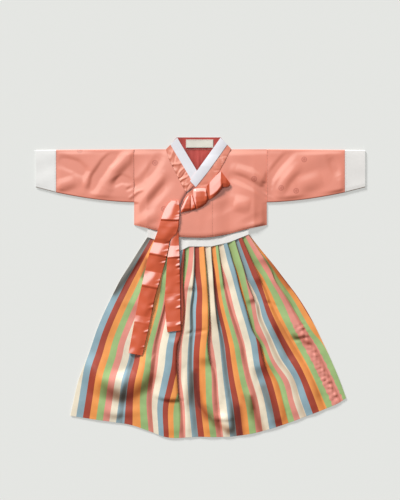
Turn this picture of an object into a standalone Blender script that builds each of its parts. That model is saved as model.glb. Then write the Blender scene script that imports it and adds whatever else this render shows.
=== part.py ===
"""A small child's hanbok laid flat: a wrap jacket (jeogori) with a tied bow over a pleated skirt (chima).

Lengths are metres. Looking down on the garment, +X is to the right and +Y is towards
the neck. +Z is up, off the surface that it lies on. The origin is the middle of the
outline, on that surface.
"""

import math

import bmesh
import bpy

# Driving sizes
SPAN = 0.750  # cuff end to cuff end
LENGTH = 0.683  # top of the neck to the lowest point of the skirt's hem
CLOTH = 0.0012  # wall of one layer of lined satin
SEAM = 0.0003  # gap between one piece and the next
LAYER = CLOTH + SEAM  # what each layer adds to the height of a pile
TAPE = 0.0010  # wall of the white neckband and of the lining
PUFF = 0.0013  # air that the jacket's fronts hold over the layer below

# Outline of the jacket
TOP_Y = LENGTH / 2
SHOULDER_Y = TOP_Y - 0.027
BODY_HALF = 0.151
UNDERARM_Y = SHOULDER_Y - 0.121
CUFF_WIDTH = 0.046
SLEEVE_END_X = SPAN / 2 - CUFF_WIDTH
GUSSET_X = 0.026  # seam between the overlapping front and its gusset
OVERLAP_X = 0.033  # hidden edge of the front that lies underneath
WRAP_X = -0.049  # free edge of the front that lies on top, under the ties
BACK_HEM_RISE = 0.004  # the back is cut this much shorter than the fronts

# The jacket's hem, left side to right side
JACKET_HEM = (
    (-0.151, 0.1420), (-0.100, 0.1295), (-0.050, 0.1158), (-0.015, 0.1135),
    (0.020, 0.1142), (0.060, 0.1208), (0.105, 0.1325), (0.151, 0.1420),
)

# Seams where the collar bands meet the fronts, from the shoulder down
INNER_COLLAR_SEAM = (
    (-0.0787, 0.3145), (-0.0732, 0.2945), (-0.0632, 0.2735), (-0.0540, 0.2548),
    (-0.0430, 0.2335), (-0.0300, 0.2100), (0.0000, 0.1840), (0.0330, 0.1700),
)
OUTER_COLLAR_SEAM = (
    (0.0705, 0.3145), (0.0555, 0.2860), (0.0404, 0.2573), (0.0260, 0.2300),
    (0.0125, 0.2046), (-0.0080, 0.1807), (-0.0290, 0.1675), (-0.0490, 0.1620),
)
# Free edges of the collar bands, a point for each station of the seams above
INNER_COLLAR_EDGE = (
    (-0.0529, 0.3409), (-0.0450, 0.3270), (-0.0325, 0.3060), (-0.0190, 0.2835),
    (-0.0080, 0.2650), (-0.0020, 0.2540),
)
OUTER_COLLAR_EDGE = (
    (0.0460, 0.3409), (0.0190, 0.3027), (-0.0080, 0.2650), (-0.0240, 0.2420),
    (-0.0122, 0.2262), (-0.0300, 0.2140), (-0.0400, 0.1970), (-0.0502, 0.1696),
)
OUTER_NECKBAND_TIP = (-0.0107, 0.2279)
NECKBAND_WIDTH = 0.0215
LABEL_SIZE = (0.062, 0.0185)
LABEL_CENTRE = (-0.002, 0.3271)
LABEL_WALL = 0.0007
LINING_FOOT_Y = 0.246

# Height of the jacket's underside up the garment, where it lies over the skirt's top,
# and how far in from the jacket's sides it comes down to the surface
DRAPE_RAMP = ((0.113, 0.0046), (0.182, 0.0036), (0.262, 0.0018), (0.312, 0.0))
DRAPE_SIDE = 0.029
# The front on top comes down to the other front's level between these
LAP_START_X = OVERLAP_X + 0.003
LAP_END_X = OVERLAP_X + 0.033
# Over the crossing the upper collar's free edge clears the other band and its neckband
CLIMB = ((0.214, 0.0015), (0.226, 0.0030), (0.276, 0.0030), (0.302, 0.0))

# How finely the jacket is divided
BODY_MARKS = (-0.151, -0.141, -0.122, 0.122, 0.141, 0.151)
BODY_ROWS = 14
COLUMN_WIDTH = 0.016
SLEEVE_GAP = 0.0006
SLEEVE_HEIGHT = 2 * CLOTH + SLEEVE_GAP
SLEEVE_STEPS = 10
SLEEVE_STATIONS = 13

# The skirt
SKIRT_Z = LAYER + 0.0002
WAISTBAND_HEIGHT = 0.060
WAIST_LINE = (
    (-0.121, 0.1140), (-0.090, 0.1035), (-0.060, 0.0890), (-0.046, 0.0825), (-0.026, 0.0925),
    (0.024, 0.0925), (0.065, 0.1020), (0.110, 0.1200),
)
HEM_LINE = (
    (-0.296, -0.2925), (-0.255, -0.2990), (-0.198, -0.3072), (-0.157, -0.3140),
    (-0.117, -0.3276), (-0.084, -0.3400), (-0.003, -0.3406), (0.067, -0.3402),
    (0.126, -0.3314), (0.186, -0.3140), (0.243, -0.2930), (0.287, -0.2758),
    (0.319, -0.2610), (0.332, -0.2523),
)
# How far the skirt has spread from its waist to its hem, against the share of the way down
SPREAD = (
    (0.00, 0.000), (0.16, 0.228), (0.30, 0.413), (0.43, 0.562),
    (0.60, 0.720), (0.75, 0.834), (1.00, 1.000),
)

# Pleats from left to right. waist and hem are where each fold's edge meets those
# lines, lift is how high it stands against the tallest one.
PLEAT_COLUMNS = ("waist", "hem", "lift")
PLEATS = (
    (-0.121, -0.296, 0.00),
    (-0.104, -0.226, 0.55),
    (-0.083, -0.172, 0.80),
    (-0.062, -0.123, 0.75),
    (-0.040, -0.077, 0.90),
    (-0.015, -0.018, 1.00),
    (0.010, 0.031, 0.85),
    (0.024, 0.073, 1.00),
    (0.042, 0.104, 0.70),
    (0.064, 0.168, 1.00),
    (0.081, 0.214, 0.80),
    (0.100, 0.262, 0.90),
    (0.110, 0.332, 0.00),
)
PLEAT_STEPS = (0.0, 0.30, 0.58, 0.82, 1.0)
SKIRT_ROWS = 18
# How the pleats change down the skirt: share of the way down, crest height, width of
# the drop at a fold's edge, and how round the crest is against a lapped fold
DROP_COLUMNS = ("down", "crest", "drop", "round")
DROP = (
    (0.00, 0.0024, 0.0018, 0.00),
    (0.12, 0.0044, 0.0026, 0.05),
    (0.35, 0.0058, 0.0055, 0.30),
    (0.65, 0.0054, 0.0100, 0.65),
    (1.00, 0.0036, 0.0140, 0.90),
)

STRAP_X = 0.056
STRAP_WIDTH = 0.030
STRAP_TOP_Y = 0.262
STRAP_WALL = 0.0014

# Soft folds of the jacket: from, to, half width, height
FOLD_COLUMNS = ("x0", "y0", "x1", "y1", "half", "height")
FOLDS = (
    (-0.148, 0.2050, -0.098, 0.2560, 0.015, 0.0030),
    (-0.128, 0.1700, -0.070, 0.2350, 0.022, 0.0024),
    (-0.190, 0.3040, -0.262, 0.2420, 0.026, 0.0026),
    (-0.225, 0.2200, -0.190, 0.2900, 0.016, 0.0018),
    (-0.320, 0.2620, -0.268, 0.2280, 0.018, 0.0016),
    (0.096, 0.2760, 0.146, 0.2120, 0.020, 0.0028),
    (0.060, 0.1560, 0.130, 0.1900, 0.022, 0.0020),
    (0.176, 0.2240, 0.216, 0.2960, 0.020, 0.0024),
    (0.236, 0.2360, 0.312, 0.2640, 0.022, 0.0020),
)

# Ties, as rows of centre x, centre y, width and height of the underside
TIE_COLUMNS = ("x", "y", "width", "z")
LONG_TAIL = (
    (-0.0600, 0.1765, 0.030, 0.0114), (-0.0740, 0.1640, 0.031, 0.0115),
    (-0.0812, 0.1480, 0.030, 0.0117), (-0.0868, 0.1190, 0.029, 0.0114),
    (-0.0956, 0.0850, 0.031, 0.0090), (-0.1053, 0.0530, 0.032, 0.0068),
    (-0.1156, 0.0100, 0.033, 0.0067), (-0.1243, -0.0290, 0.033, 0.0068),
    (-0.1345, -0.0750, 0.033, 0.0068), (-0.1425, -0.1155, 0.032, 0.0069),
    (-0.1489, -0.1530, 0.031, 0.0069),
)
SHORT_TAIL = (
    (-0.0600, 0.1720, 0.027, 0.0098), (-0.0618, 0.1580, 0.028, 0.0099),
    (-0.0616, 0.1350, 0.029, 0.0102), (-0.0609, 0.1077, 0.029, 0.0092),
    (-0.0627, 0.0735, 0.030, 0.0068), (-0.0641, 0.0280, 0.033, 0.0070),
    (-0.0641, -0.0290, 0.035, 0.0072), (-0.0606, -0.0970, 0.031, 0.0073),
)
# The gathered stretch between the knot and the tails, upper edge and lower edge
GATHER_COLUMNS = ("upper_x", "upper_y", "lower_x", "lower_y", "thick")
GATHER = (
    (-0.0195, 0.2130, -0.0135, 0.1800, 0.0055),
    (-0.0260, 0.2070, -0.0200, 0.1755, 0.0050),
    (-0.0330, 0.1970, -0.0275, 0.1715, 0.0042),
    (-0.0390, 0.1855, -0.0360, 0.1690, 0.0032),
    (-0.0435, 0.1760, -0.0420, 0.1680, 0.0024),
)
# The knot: a square of tie wrapped round, corners anticlockwise from the lower left
KNOT = (
    (-0.0095, 0.1775), (0.0110, 0.1905), (0.0175, 0.2010),
    (0.0090, 0.2225), (-0.0165, 0.2215), (-0.0130, 0.2000),
)
KNOT_CROWN = 0.0080
# The bow's loop: where its two edges start at the knot and end at the fold
LOOP_NEAR = ((0.0135, 0.2330), (0.0200, 0.1985))
LOOP_FAR = ((0.0467, 0.2628), (0.0655, 0.2335))
LOOP_Z = 0.0096
LOOP_HEIGHT = 0.0080
LOOP_TURN_STEPS = 7

COLOURS = {
    "salmon_satin": (0.800, 0.292, 0.206, 1.0),
    "coral_satin": (0.708, 0.127, 0.056, 1.0),
    "white_cotton": (0.780, 0.780, 0.765, 1.0),
    "red_lining": (0.560, 0.072, 0.060, 1.0),
    "striped_satin": (0.640, 0.330, 0.170, 1.0),
    "label_weave": (0.720, 0.700, 0.620, 1.0),
}
ROUGHNESS = {"salmon_satin": 0.42, "coral_satin": 0.32, "striped_satin": 0.45}
PLAIN_ROUGHNESS = 0.8


def clamp(value):
    """The value held between 0 and 1."""
    return max(0.0, min(1.0, value))


def lerp(a, b, share):
    """The value that share of the way from a to b."""
    return a + (b - a) * share


def named(columns, rows):
    """A table's rows as dictionaries keyed by its column names."""
    return [dict(zip(columns, row)) for row in rows]


def on_line(points, x):
    """The second value of a table of points at x, along straight stretches."""
    ordered = sorted(points)
    if x <= ordered[0][0]:
        return ordered[0][1]
    for (x0, y0), (x1, y1) in zip(ordered, ordered[1:]):
        if x <= x1:
            return lerp(y0, y1, (x - x0) / (x1 - x0))
    return ordered[-1][1]


def on_curve(points, x):
    """The second value of a table of points at x, along a smooth curve through them."""
    xs = [p[0] for p in points]
    ys = [p[1] for p in points]
    last = len(points) - 1
    x = max(xs[0], min(xs[-1], x))
    i = next(k for k in range(last) if x <= xs[k + 1])

    def slope(k):
        a, b = max(k - 1, 0), min(k + 1, last)
        return (ys[b] - ys[a]) / (xs[b] - xs[a])

    width = xs[i + 1] - xs[i]
    t = (x - xs[i]) / width
    start = (2 * t**3 - 3 * t**2 + 1) * ys[i] + (t**3 - 2 * t**2 + t) * width * slope(i)
    end = (3 * t**2 - 2 * t**3) * ys[i + 1] + (t**3 - t**2) * width * slope(i + 1)
    return start + end


def steps(start, stop, count):
    """count + 1 values evenly from start to stop."""
    return [lerp(start, stop, i / count) for i in range(count + 1)]


def satin(name):
    """The material of that name, made the first time it is asked for."""
    material = bpy.data.materials.get(name)
    if material is None:
        material = bpy.data.materials.new(name)
        material.use_nodes = True
        shader = material.node_tree.nodes["Principled BSDF"]
        shader.inputs["Base Color"].default_value = COLOURS[name]
        shader.inputs["Roughness"].default_value = ROUGHNESS.get(name, PLAIN_ROUGHNESS)
        shader.inputs["Metallic"].default_value = 0.0
    return material


def add_object(name, bm, material):
    """A bmesh made an object of the garment's collection."""
    mesh = bpy.data.meshes.new(name)
    bm.to_mesh(mesh)
    bm.free()
    mesh.materials.append(satin(material))
    mesh.shade_smooth()
    piece = bpy.data.objects.new(name, mesh)
    bpy.data.collections["hanbok"].objects.link(piece)
    return piece


def add_sheet(name, rows, wall, material):
    """Cloth standing on a grid of points. Rows run from the neck end down, each left to right."""
    bm = bmesh.new()
    grid = [[bm.verts.new(point) for point in row] for row in rows]
    for upper, lower in zip(grid, grid[1:]):
        for a, b, c, d in zip(upper, lower, lower[1:], upper[1:]):
            bm.faces.new((a, b, c, d))
    piece = add_object(name, bm, material)
    thicken = piece.modifiers.new("wall", "SOLIDIFY")
    thicken.thickness = wall
    thicken.offset = 1.0
    thicken.use_even_offset = True
    return piece


def add_loft(name, outer_rings, inner_rings, material):
    """A tube wall between outer and inner rings, closed at both ends. With no inner rings it is solid."""
    bm = bmesh.new()

    def skin(rings):
        made = [[bm.verts.new(point) for point in ring] for ring in rings]
        for ring, after in zip(made, made[1:]):
            for i in range(len(ring)):
                j = (i + 1) % len(ring)
                bm.faces.new((ring[i], ring[j], after[j], after[i]))
        return made

    outer = skin(outer_rings)
    if inner_rings:
        inner = skin(inner_rings)
        for a, b in ((outer[0], inner[0]), (outer[-1], inner[-1])):
            for i in range(len(a)):
                j = (i + 1) % len(a)
                bm.faces.new((a[i], a[j], b[j], b[i]))
    else:
        bm.faces.new(outer[0])
        bm.faces.new(outer[-1])
    bmesh.ops.recalc_face_normals(bm, faces=bm.faces)
    return add_object(name, bm, material)


def fold_height(x, y):
    """How far the jacket's soft folds stand up at a point."""
    height = 0.0
    for fold in named(FOLD_COLUMNS, FOLDS):
        run_x, run_y = fold["x1"] - fold["x0"], fold["y1"] - fold["y0"]
        length = math.hypot(run_x, run_y)
        along = ((x - fold["x0"]) * run_x + (y - fold["y0"]) * run_y) / length**2
        across = ((x - fold["x0"]) * run_y - (y - fold["y0"]) * run_x) / length
        past = max(0.0, -along, along - 1) * length
        reach = math.hypot(across, past) / fold["half"]
        if reach < 1:
            taper = 0.55 + 0.45 * math.sin(math.pi * clamp(along))
            height = max(height, fold["height"] * taper * (1 - reach**2) ** 2)
    return height


def drape(x, y):
    """Height of the jacket's underside: on the floor at the sides, over the waistband in the middle."""
    side = clamp((BODY_HALF - abs(x)) / DRAPE_SIDE)
    return side * on_line(DRAPE_RAMP, y)


def front_edge(x, y, hem):
    """0 at the jacket's side, shoulder and hem edges, 1 once 10 mm in from them."""
    from_edge = min(BODY_HALF - abs(x), SHOULDER_Y - y, y - hem)
    return clamp(from_edge / 0.010)


def front_height(x, y):
    """Height of the underside of the jacket's fronts."""
    hem = on_curve(JACKET_HEM, x)
    edge = front_edge(x, y, hem)
    return drape(x, y) + LAYER + PUFF * edge + fold_height(x, y) * edge * front_mask(x, y)


def front_mask(x, y):
    """Keeps the soft folds off the stretch where the fronts, collar and bow overlap."""
    return clamp((abs(x + 0.006) - 0.080) / 0.020)


def lap_height(x, y):
    """How much higher the overlapping front lies because the other front is under it."""
    return LAYER * clamp((LAP_END_X - x) / (LAP_END_X - LAP_START_X))


def panel_rows(columns, top, hem, height, count):
    """Rows of points filling the space between a top edge and a hem, on vertical columns."""
    rows = []
    for down in steps(0.0, 1.0, count):
        row = []
        for x in columns:
            y = lerp(top(x), hem(x), down)
            row.append((x, y, height(x, y)))
        rows.append(row)
    return rows


def columns_between(low, high, marks, widest):
    """Column places from low to high that include the marks, none wider apart than widest."""
    kept = sorted({low, high, *(m for m in marks if low < m < high)})
    places = [low]
    for a, b in zip(kept, kept[1:]):
        places += steps(a, b, max(1, math.ceil((b - a) / widest)))[1:]
    return places


def jacket_back():
    columns = columns_between(-BODY_HALF, BODY_HALF, BODY_MARKS, 0.030)
    rows = panel_rows(
        columns, lambda x: SHOULDER_Y - 0.0005, lambda x: on_curve(JACKET_HEM, x) + BACK_HEM_RISE, drape, 12
    )
    add_sheet("jacket_back", rows, CLOTH, "salmon_satin")


def jacket_fronts():
    """The front underneath, the front on top and the gusset that widens it."""
    inner_marks = (*BODY_MARKS, *(x for x, _ in INNER_COLLAR_SEAM))
    inner = columns_between(-BODY_HALF, OVERLAP_X, inner_marks, COLUMN_WIDTH)
    rows = panel_rows(
        inner,
        lambda x: collar_seam(INNER_COLLAR_SEAM, x),
        lambda x: on_curve(JACKET_HEM, x),
        front_height,
        BODY_ROWS,
    )
    add_sheet("jacket_front_inner", rows, CLOTH, "salmon_satin")

    outer_marks = (*BODY_MARKS, LAP_START_X, LAP_END_X, *(x for x, _ in OUTER_COLLAR_SEAM))
    for name, low, high in (
        ("jacket_gusset", WRAP_X, GUSSET_X - SEAM / 2),
        ("jacket_front_outer", GUSSET_X + SEAM / 2, BODY_HALF),
    ):
        columns = columns_between(low, high, outer_marks, COLUMN_WIDTH)
        rows = panel_rows(
            columns,
            lambda x: collar_seam(OUTER_COLLAR_SEAM, x),
            lambda x: on_curve(JACKET_HEM, x),
            lambda x, y: front_height(x, y) + lap_height(x, y),
            BODY_ROWS,
        )
        add_sheet(name, rows, CLOTH, "salmon_satin")


def collar_seam(seam, x):
    """Top edge of a front at x: the collar's seam, or the shoulder beyond it."""
    return on_line(seam, x) - SEAM


def jacket_lining():
    """The red lining of the back, as far as it shows through the neck."""
    top = SHOULDER_Y - 0.0012
    rows = []
    for down in steps(0.0, 1.0, 6):
        y = lerp(top, LINING_FOOT_Y, down)
        left, right = lerp(-0.064, -0.026, down), lerp(0.058, 0.006, down)
        rows.append([(x, y, drape(x, y) + LAYER) for x in steps(left, right, 6)])
    add_sheet("jacket_lining", rows, TAPE, "red_lining")


def collar_height(x, y):
    """Height of the underside of a collar band that lies on the fronts' level."""
    return drape(x, y) + LAYER + PUFF


def shrink(edge, other, gap):
    """An edge of a strip moved towards the other edge by a gap."""
    moved = []
    for (x0, y0), (x1, y1) in zip(edge, other):
        share = gap / math.hypot(x1 - x0, y1 - y0)
        moved.append((lerp(x0, x1, share), lerp(y0, y1, share)))
    return moved


def collar_rows(seam, edge, climbs):
    """The grid of a collar band: a row for each station, from the free edge to the seam."""
    seam = shrink(seam[:len(edge)], edge, SEAM)
    rows = []
    for row in strip_points(edge, seam):
        for k, (x, y) in enumerate(row):
            rise = climb(x, y, k / (len(row) - 1)) if climbs else 0.0
            row[k] = (x, y, collar_height(x, y) + rise)
        rows.append(row)
    return rows


def climb(x, y, share):
    """How far the overlapping band climbs over the other one: most at its free edge."""
    return lerp(on_line(CLIMB, y), lap_height(x, y), share)


def strip_points(edge, seam):
    """Points across a strip for each pair of stations, with one at the neckband's width."""
    rows = []
    for i, ((x0, y0), (x1, y1)) in enumerate(zip(edge, seam)):
        before, after = edge[max(i - 1, 0)], edge[min(i + 1, len(edge) - 1)]
        run = math.dist(before, after)
        across = abs((x1 - x0) * (after[1] - before[1]) - (y1 - y0) * (after[0] - before[0])) / run
        band = min(NECKBAND_WIDTH / across, 0.97)
        shares = (0.0, band / 2, band, (1 + band) / 2, 1.0)
        rows.append([(lerp(x0, x1, t), lerp(y0, y1, t)) for t in shares])
    return rows


def raised(rows, gap):
    """A grid of points moved up by a gap."""
    return [[(x, y, z + gap) for x, y, z in row] for row in rows]


def collar():
    """The collar band and the white neckband on it: under, on top, and round the back of the neck."""
    inner = collar_rows(INNER_COLLAR_SEAM, INNER_COLLAR_EDGE, False)
    outer = collar_rows(OUTER_COLLAR_SEAM, OUTER_COLLAR_EDGE, True)
    add_sheet("collar_inner", [row[::-1] for row in inner], CLOTH, "salmon_satin")
    add_sheet("collar_outer", outer, CLOTH, "salmon_satin")

    band = [row[2::-1] for row in raised(inner, LAYER)]
    add_sheet("neckband_inner", band, TAPE, "white_cotton")
    band = [row[:3] for row in raised(outer, LAYER)][:4]
    corner = band[3][0]
    tip = (*OUTER_NECKBAND_TIP, corner[2])
    band[3] = [corner, tuple((a + b) / 2 for a, b in zip(corner, tip)), tip]
    add_sheet("neckband_outer", band, TAPE, "white_cotton")

    lift = TAPE + SEAM
    rows = [
        [(x, TOP_Y, lift) for x in steps(-0.0540, 0.0465, 6)],
        [(x, SHOULDER_Y - 0.0004, lift) for x in steps(-0.0775, 0.0695, 6)],
    ]
    add_sheet("collar_back", rows, CLOTH, "salmon_satin")
    rows = [
        [(x, TOP_Y - 0.0002, 0.0) for x in steps(-0.0530, 0.0455, 4)],
        [(x, TOP_Y - NECKBAND_WIDTH, 0.0) for x in steps(-0.0700, 0.0620, 4)],
    ]
    add_sheet("neckband_back", rows, TAPE, "white_cotton")


def label():
    """The bare woven label inside the back of the neck."""
    half_x, half_y = LABEL_SIZE[0] / 2, LABEL_SIZE[1] / 2
    z = TAPE + SEAM + LAYER
    rows = [
        [(LABEL_CENTRE[0] + side * half_x, LABEL_CENTRE[1] + end * half_y, z) for side in (-1, 1)]
        for end in (1, -1)
    ]
    add_sheet("label", rows, LABEL_WALL, "label_weave")


def sleeve_foot(x):
    """The sleeve's underarm edge, curving up towards the cuff."""
    along = (abs(x) - BODY_HALF) / (SLEEVE_END_X - BODY_HALF)
    return UNDERARM_Y + 0.0225 * along**1.7


def sleeve_head(x):
    """The sleeve's folded top edge."""
    along = (abs(x) - BODY_HALF) / (SPAN / 2 - BODY_HALF)
    return SHOULDER_Y - 0.002 * along


def flat_ring(x, head, foot, wall, crest):
    """One section of a flattened tube: outside points and inside points."""
    middle = SLEEVE_HEIGHT / 2
    outside, inside = [], []
    for share in steps(0.0, 1.0, SLEEVE_STEPS):
        y = lerp(head - middle, foot + middle, share)
        top = SLEEVE_HEIGHT + crest(x, y) * min(1.0, 6 * share, 6 * (1 - share))
        outside.append((x, y, top))
        inside.append((x, y, top - wall))
    outside += [(x, foot, middle), (x, foot + middle, 0.0), (x, head - middle, 0.0), (x, head, middle)]
    inside += [
        (x, foot + wall, middle),
        (x, foot + middle, wall),
        (x, head - middle, wall),
        (x, head - wall, middle),
    ]
    return outside, inside


def sleeves():
    """Each sleeve is one piece folded at the top, with a white cuff at its end."""
    for side, sign in (("left", -1), ("right", 1)):
        places = steps(BODY_HALF + 2.5 * SEAM, SLEEVE_END_X - SEAM, SLEEVE_STATIONS)

        def crest(x, y):
            from_end = min(abs(x) - BODY_HALF, SLEEVE_END_X - abs(x))
            return fold_height(x, y) * clamp(from_end / 0.012)

        rings = [flat_ring(sign * x, sleeve_head(x), sleeve_foot(x), CLOTH, crest) for x in places]
        add_loft(f"sleeve_{side}", [r[0] for r in rings], [r[1] for r in rings], "salmon_satin")

        places = steps(SLEEVE_END_X, SPAN / 2, 3)
        rings = [flat_ring(sign * x, sleeve_head(x), cuff_foot(x), CLOTH, lambda x, y: 0.0) for x in places]
        add_loft(f"cuff_{side}", [r[0] for r in rings], [r[1] for r in rings], "white_cotton")


def cuff_foot(x):
    """The cuff's lower edge, which goes on narrowing from the sleeve's."""
    return sleeve_foot(SLEEVE_END_X) + 0.0118 * (abs(x) - SLEEVE_END_X) / CUFF_WIDTH


def skirt_point(waist, hem, down):
    """A point on the line that joins a place on the waist to a place on the hem."""
    x = lerp(waist, hem, on_curve(SPREAD, down))
    y = lerp(on_line(WAIST_LINE, waist), on_curve(HEM_LINE, hem), down)
    return x, y


def at_depth(column, down):
    """A value of the DROP table that share of the way down the skirt."""
    table = named(DROP_COLUMNS, DROP)
    return on_line([(row["down"], row[column]) for row in table], down)


def pleat_shape(share, roundness):
    """Height across one pleat, from its tucked edge to its folded edge."""
    lapped = share**0.85
    crowned = math.sin(math.pi * share) ** 0.8 if 0 < share < 1 else 0.0
    return lerp(lapped, crowned, roundness)


def skirt_rows():
    """The grid of the skirt's front: lapped pleats at the waist that open to soft waves at the hem."""
    folds = named(PLEAT_COLUMNS, PLEATS)
    rows = []
    for down in steps(0.0, 1.0, SKIRT_ROWS):
        crest = at_depth("crest", down)
        drop = at_depth("drop", down)
        roundness = at_depth("round", down)
        row = []
        for i, (fold, after) in enumerate(zip(folds, folds[1:])):
            last = i == len(folds) - 2
            x0, y0 = skirt_point(fold["waist"], fold["hem"], down)
            x1, y1 = skirt_point(after["waist"], after["hem"], down)
            width = x1 - x0
            lap = min(drop, 0.4 * width)
            low, high = lap / 2 / width, 1 - lap / 2 / width
            if i == 0:
                low = 0.0
            if last:
                high = 1.0
            lift = max(after["lift"], 0.35)
            for share in PLEAT_STEPS:
                place = lerp(low, high, share)
                rise = pleat_shape(share, 1.0 if last else roundness)
                z = SKIRT_Z + crest * lift * rise
                row.append((lerp(x0, x1, place), lerp(y0, y1, place) - SEAM * (1 - down), z))
        rows.append(row)
    return rows


def skirt_front():
    add_sheet("skirt_front", skirt_rows(), CLOTH, "striped_satin")


def waist_columns():
    """Where the back panels' columns meet the waist line."""
    marks = [x for x, _ in WAIST_LINE]
    return columns_between(WAIST_LINE[0][0], WAIST_LINE[-1][0], marks, 0.024)


def skirt_back():
    """The back of the skirt, pressed flat on the surface, to the same outline."""
    left, right = PLEATS[0], PLEATS[-1]
    rows = []
    for down in steps(0.0, 1.0, SKIRT_ROWS):
        row = []
        for waist in waist_columns():
            share = (waist - left[0]) / (right[0] - left[0])
            x, y = skirt_point(waist, lerp(left[1], right[1], share), down)
            row.append((x, y - SEAM * (1 - down), 0.0))
        rows.append(row)
    add_sheet("skirt_back", rows, CLOTH, "striped_satin")


def waistband():
    """The white waistband, front and back, and the straps tucked under the jacket."""
    front_seam = [(x, y + 2 * SEAM) for x, y, _ in skirt_rows()[0]]
    back_seam = [(x, on_line(WAIST_LINE, x) + SEAM) for x in waist_columns()]
    for name, seam, foot_z, head_z in (
        ("waistband_front", front_seam, 0.0034, SKIRT_Z),
        ("waistband_back", back_seam, 0.0, 0.0),
    ):
        rows = [
            [(x, y + WAISTBAND_HEIGHT * up, lerp(foot_z, head_z, up)) for x, y in seam]
            for up in (1.0, 0.5, 0.0)
        ]
        add_sheet(name, rows, CLOTH, "white_cotton")

    for side, sign in (("left", -1), ("right", 1)):
        centre = sign * STRAP_X
        places = steps(centre - STRAP_WIDTH / 2, centre + STRAP_WIDTH / 2, 2)
        foot = max(on_line(WAIST_LINE, x) for x in places) + WAISTBAND_HEIGHT + 2 * SEAM
        rows = [[(x, y, 0.0) for x in places] for y in steps(STRAP_TOP_Y, foot, 3)]
        add_sheet(f"strap_{side}", rows, STRAP_WALL, "white_cotton")


def along_tie(table, share):
    """A tie's centre, width and height that share of the way down its table."""
    count = len(table) - 1
    return {
        name: on_curve([(i / count, row[k]) for i, row in enumerate(table)], share)
        for k, name in enumerate(TIE_COLUMNS)
    }


def tail(name, table, count):
    """A tie hanging down as a flat ribbon that follows its table."""
    rows = []
    for share in steps(0.0, 1.0, count):
        here = along_tie(table, share)
        before, after = along_tie(table, max(share - 0.01, 0)), along_tie(table, min(share + 0.01, 1))
        run_x, run_y = after["x"] - before["x"], after["y"] - before["y"]
        length = math.hypot(run_x, run_y)
        side_x, side_y = -run_y / length, run_x / length
        row = []
        for across in (-0.5, 0.0, 0.5):
            reach = across * here["width"]
            row.append((here["x"] + side_x * reach, here["y"] + side_y * reach, here["z"]))
        rows.append(row)
    add_sheet(name, rows, CLOTH, "coral_satin")


def tie_gather():
    """The gathered stretch of tie that comes out of the knot and feeds the tails."""
    rings = []
    for row in named(GATHER_COLUMNS, GATHER):
        ring = []
        for share in steps(0.0, 1.0, 6):
            x, y = lerp(row["upper_x"], row["lower_x"], share), lerp(row["upper_y"], row["lower_y"], share)
            ridge = 0.35 + 0.65 * abs(math.sin(1.5 * math.pi * share + 0.5))
            ring.append((x, y, gather_floor(x, y) + 0.0012 + row["thick"] * ridge))
        for share in steps(1.0, 0.0, 3):
            x, y = lerp(row["upper_x"], row["lower_x"], share), lerp(row["upper_y"], row["lower_y"], share)
            ring.append((x, y, gather_floor(x, y)))
        rings.append(ring)
    add_loft("tie_gather", rings, None, "coral_satin")


def gather_floor(x, y):
    """Height of the top of the overlapping collar and gusset, with a seam's gap."""
    return collar_height(x, y) + on_line(CLIMB, y) + LAYER + 0.0004


def knot():
    """The knot: the tie wrapped round once, a crowned square of satin."""
    centre_x = sum(x for x, _ in KNOT) / len(KNOT)
    centre_y = sum(y for _, y in KNOT) / len(KNOT)
    rings = []
    for share, height in ((1.0, 0.0), (1.02, 0.35), (0.90, 0.72), (0.62, 0.94), (0.28, 1.0)):
        ring = []
        for x, y in KNOT:
            px, py = lerp(centre_x, x, share), lerp(centre_y, y, share)
            ring.append((px, py, gather_floor(px, py) + KNOT_CROWN * height))
        rings.append(ring)
    add_loft("tie_knot", rings, None, "coral_satin")


def bow_loop():
    """The bow's single loop: tie led out, turned over and brought back to the knot."""
    path = loop_path()
    rows = []
    for out, z in path:
        row = []
        for near, far in zip(LOOP_NEAR, LOOP_FAR):
            row.append((lerp(near[0], far[0], out), lerp(near[1], far[1], out), z))
        middle = [(a + b) / 2 for a, b in zip(*row)]
        rows.append([row[0], tuple(middle), row[1]])
    add_sheet("bow_loop", rows, CLOTH, "coral_satin")


def loop_path():
    """The loop from the side, as pairs of share outwards and height, from the top layer to the bottom."""
    radius = LOOP_HEIGHT / 2
    turn = 1 - radius / math.dist(LOOP_NEAR[0], LOOP_FAR[0])
    path = [(share, LOOP_Z + LOOP_HEIGHT) for share in steps(0.0, turn, 4)]
    for i in range(1, LOOP_TURN_STEPS + 1):
        angle = math.pi * i / (LOOP_TURN_STEPS + 1)
        path.append((turn + (1 - turn) * math.sin(angle), LOOP_Z + radius + radius * math.cos(angle)))
    path += [(share, LOOP_Z) for share in steps(turn, 0.0, 4)]
    return path


def build():
    """Clears the scene and makes the whole garment in a collection of its own."""
    for old in list(bpy.data.objects):
        bpy.data.objects.remove(old)
    collection = bpy.data.collections.new("hanbok")
    bpy.context.scene.collection.children.link(collection)
    skirt_back()
    skirt_front()
    waistband()
    jacket_back()
    jacket_lining()
    jacket_fronts()
    sleeves()
    collar()
    label()
    tail("tie_tail_short", SHORT_TAIL, 20)
    tail("tie_tail_long", LONG_TAIL, 26)
    tie_gather()
    knot()
    bow_loop()


build()
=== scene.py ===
# %% [markdown]
# # A small child's hanbok, laid flat
# This lesson dresses a finished CAD model of a hanbok: a short wrap jacket with a tied bow over
# a striped, pleated skirt. The CAD model gives the size and place of every panel, and each cell
# below makes one panel again as thin cloth with its folds, seams and finish. All lengths are in
# metres, X runs to the right, Y towards the neck and Z up off the table.

# %% Load the frame
import math

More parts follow.
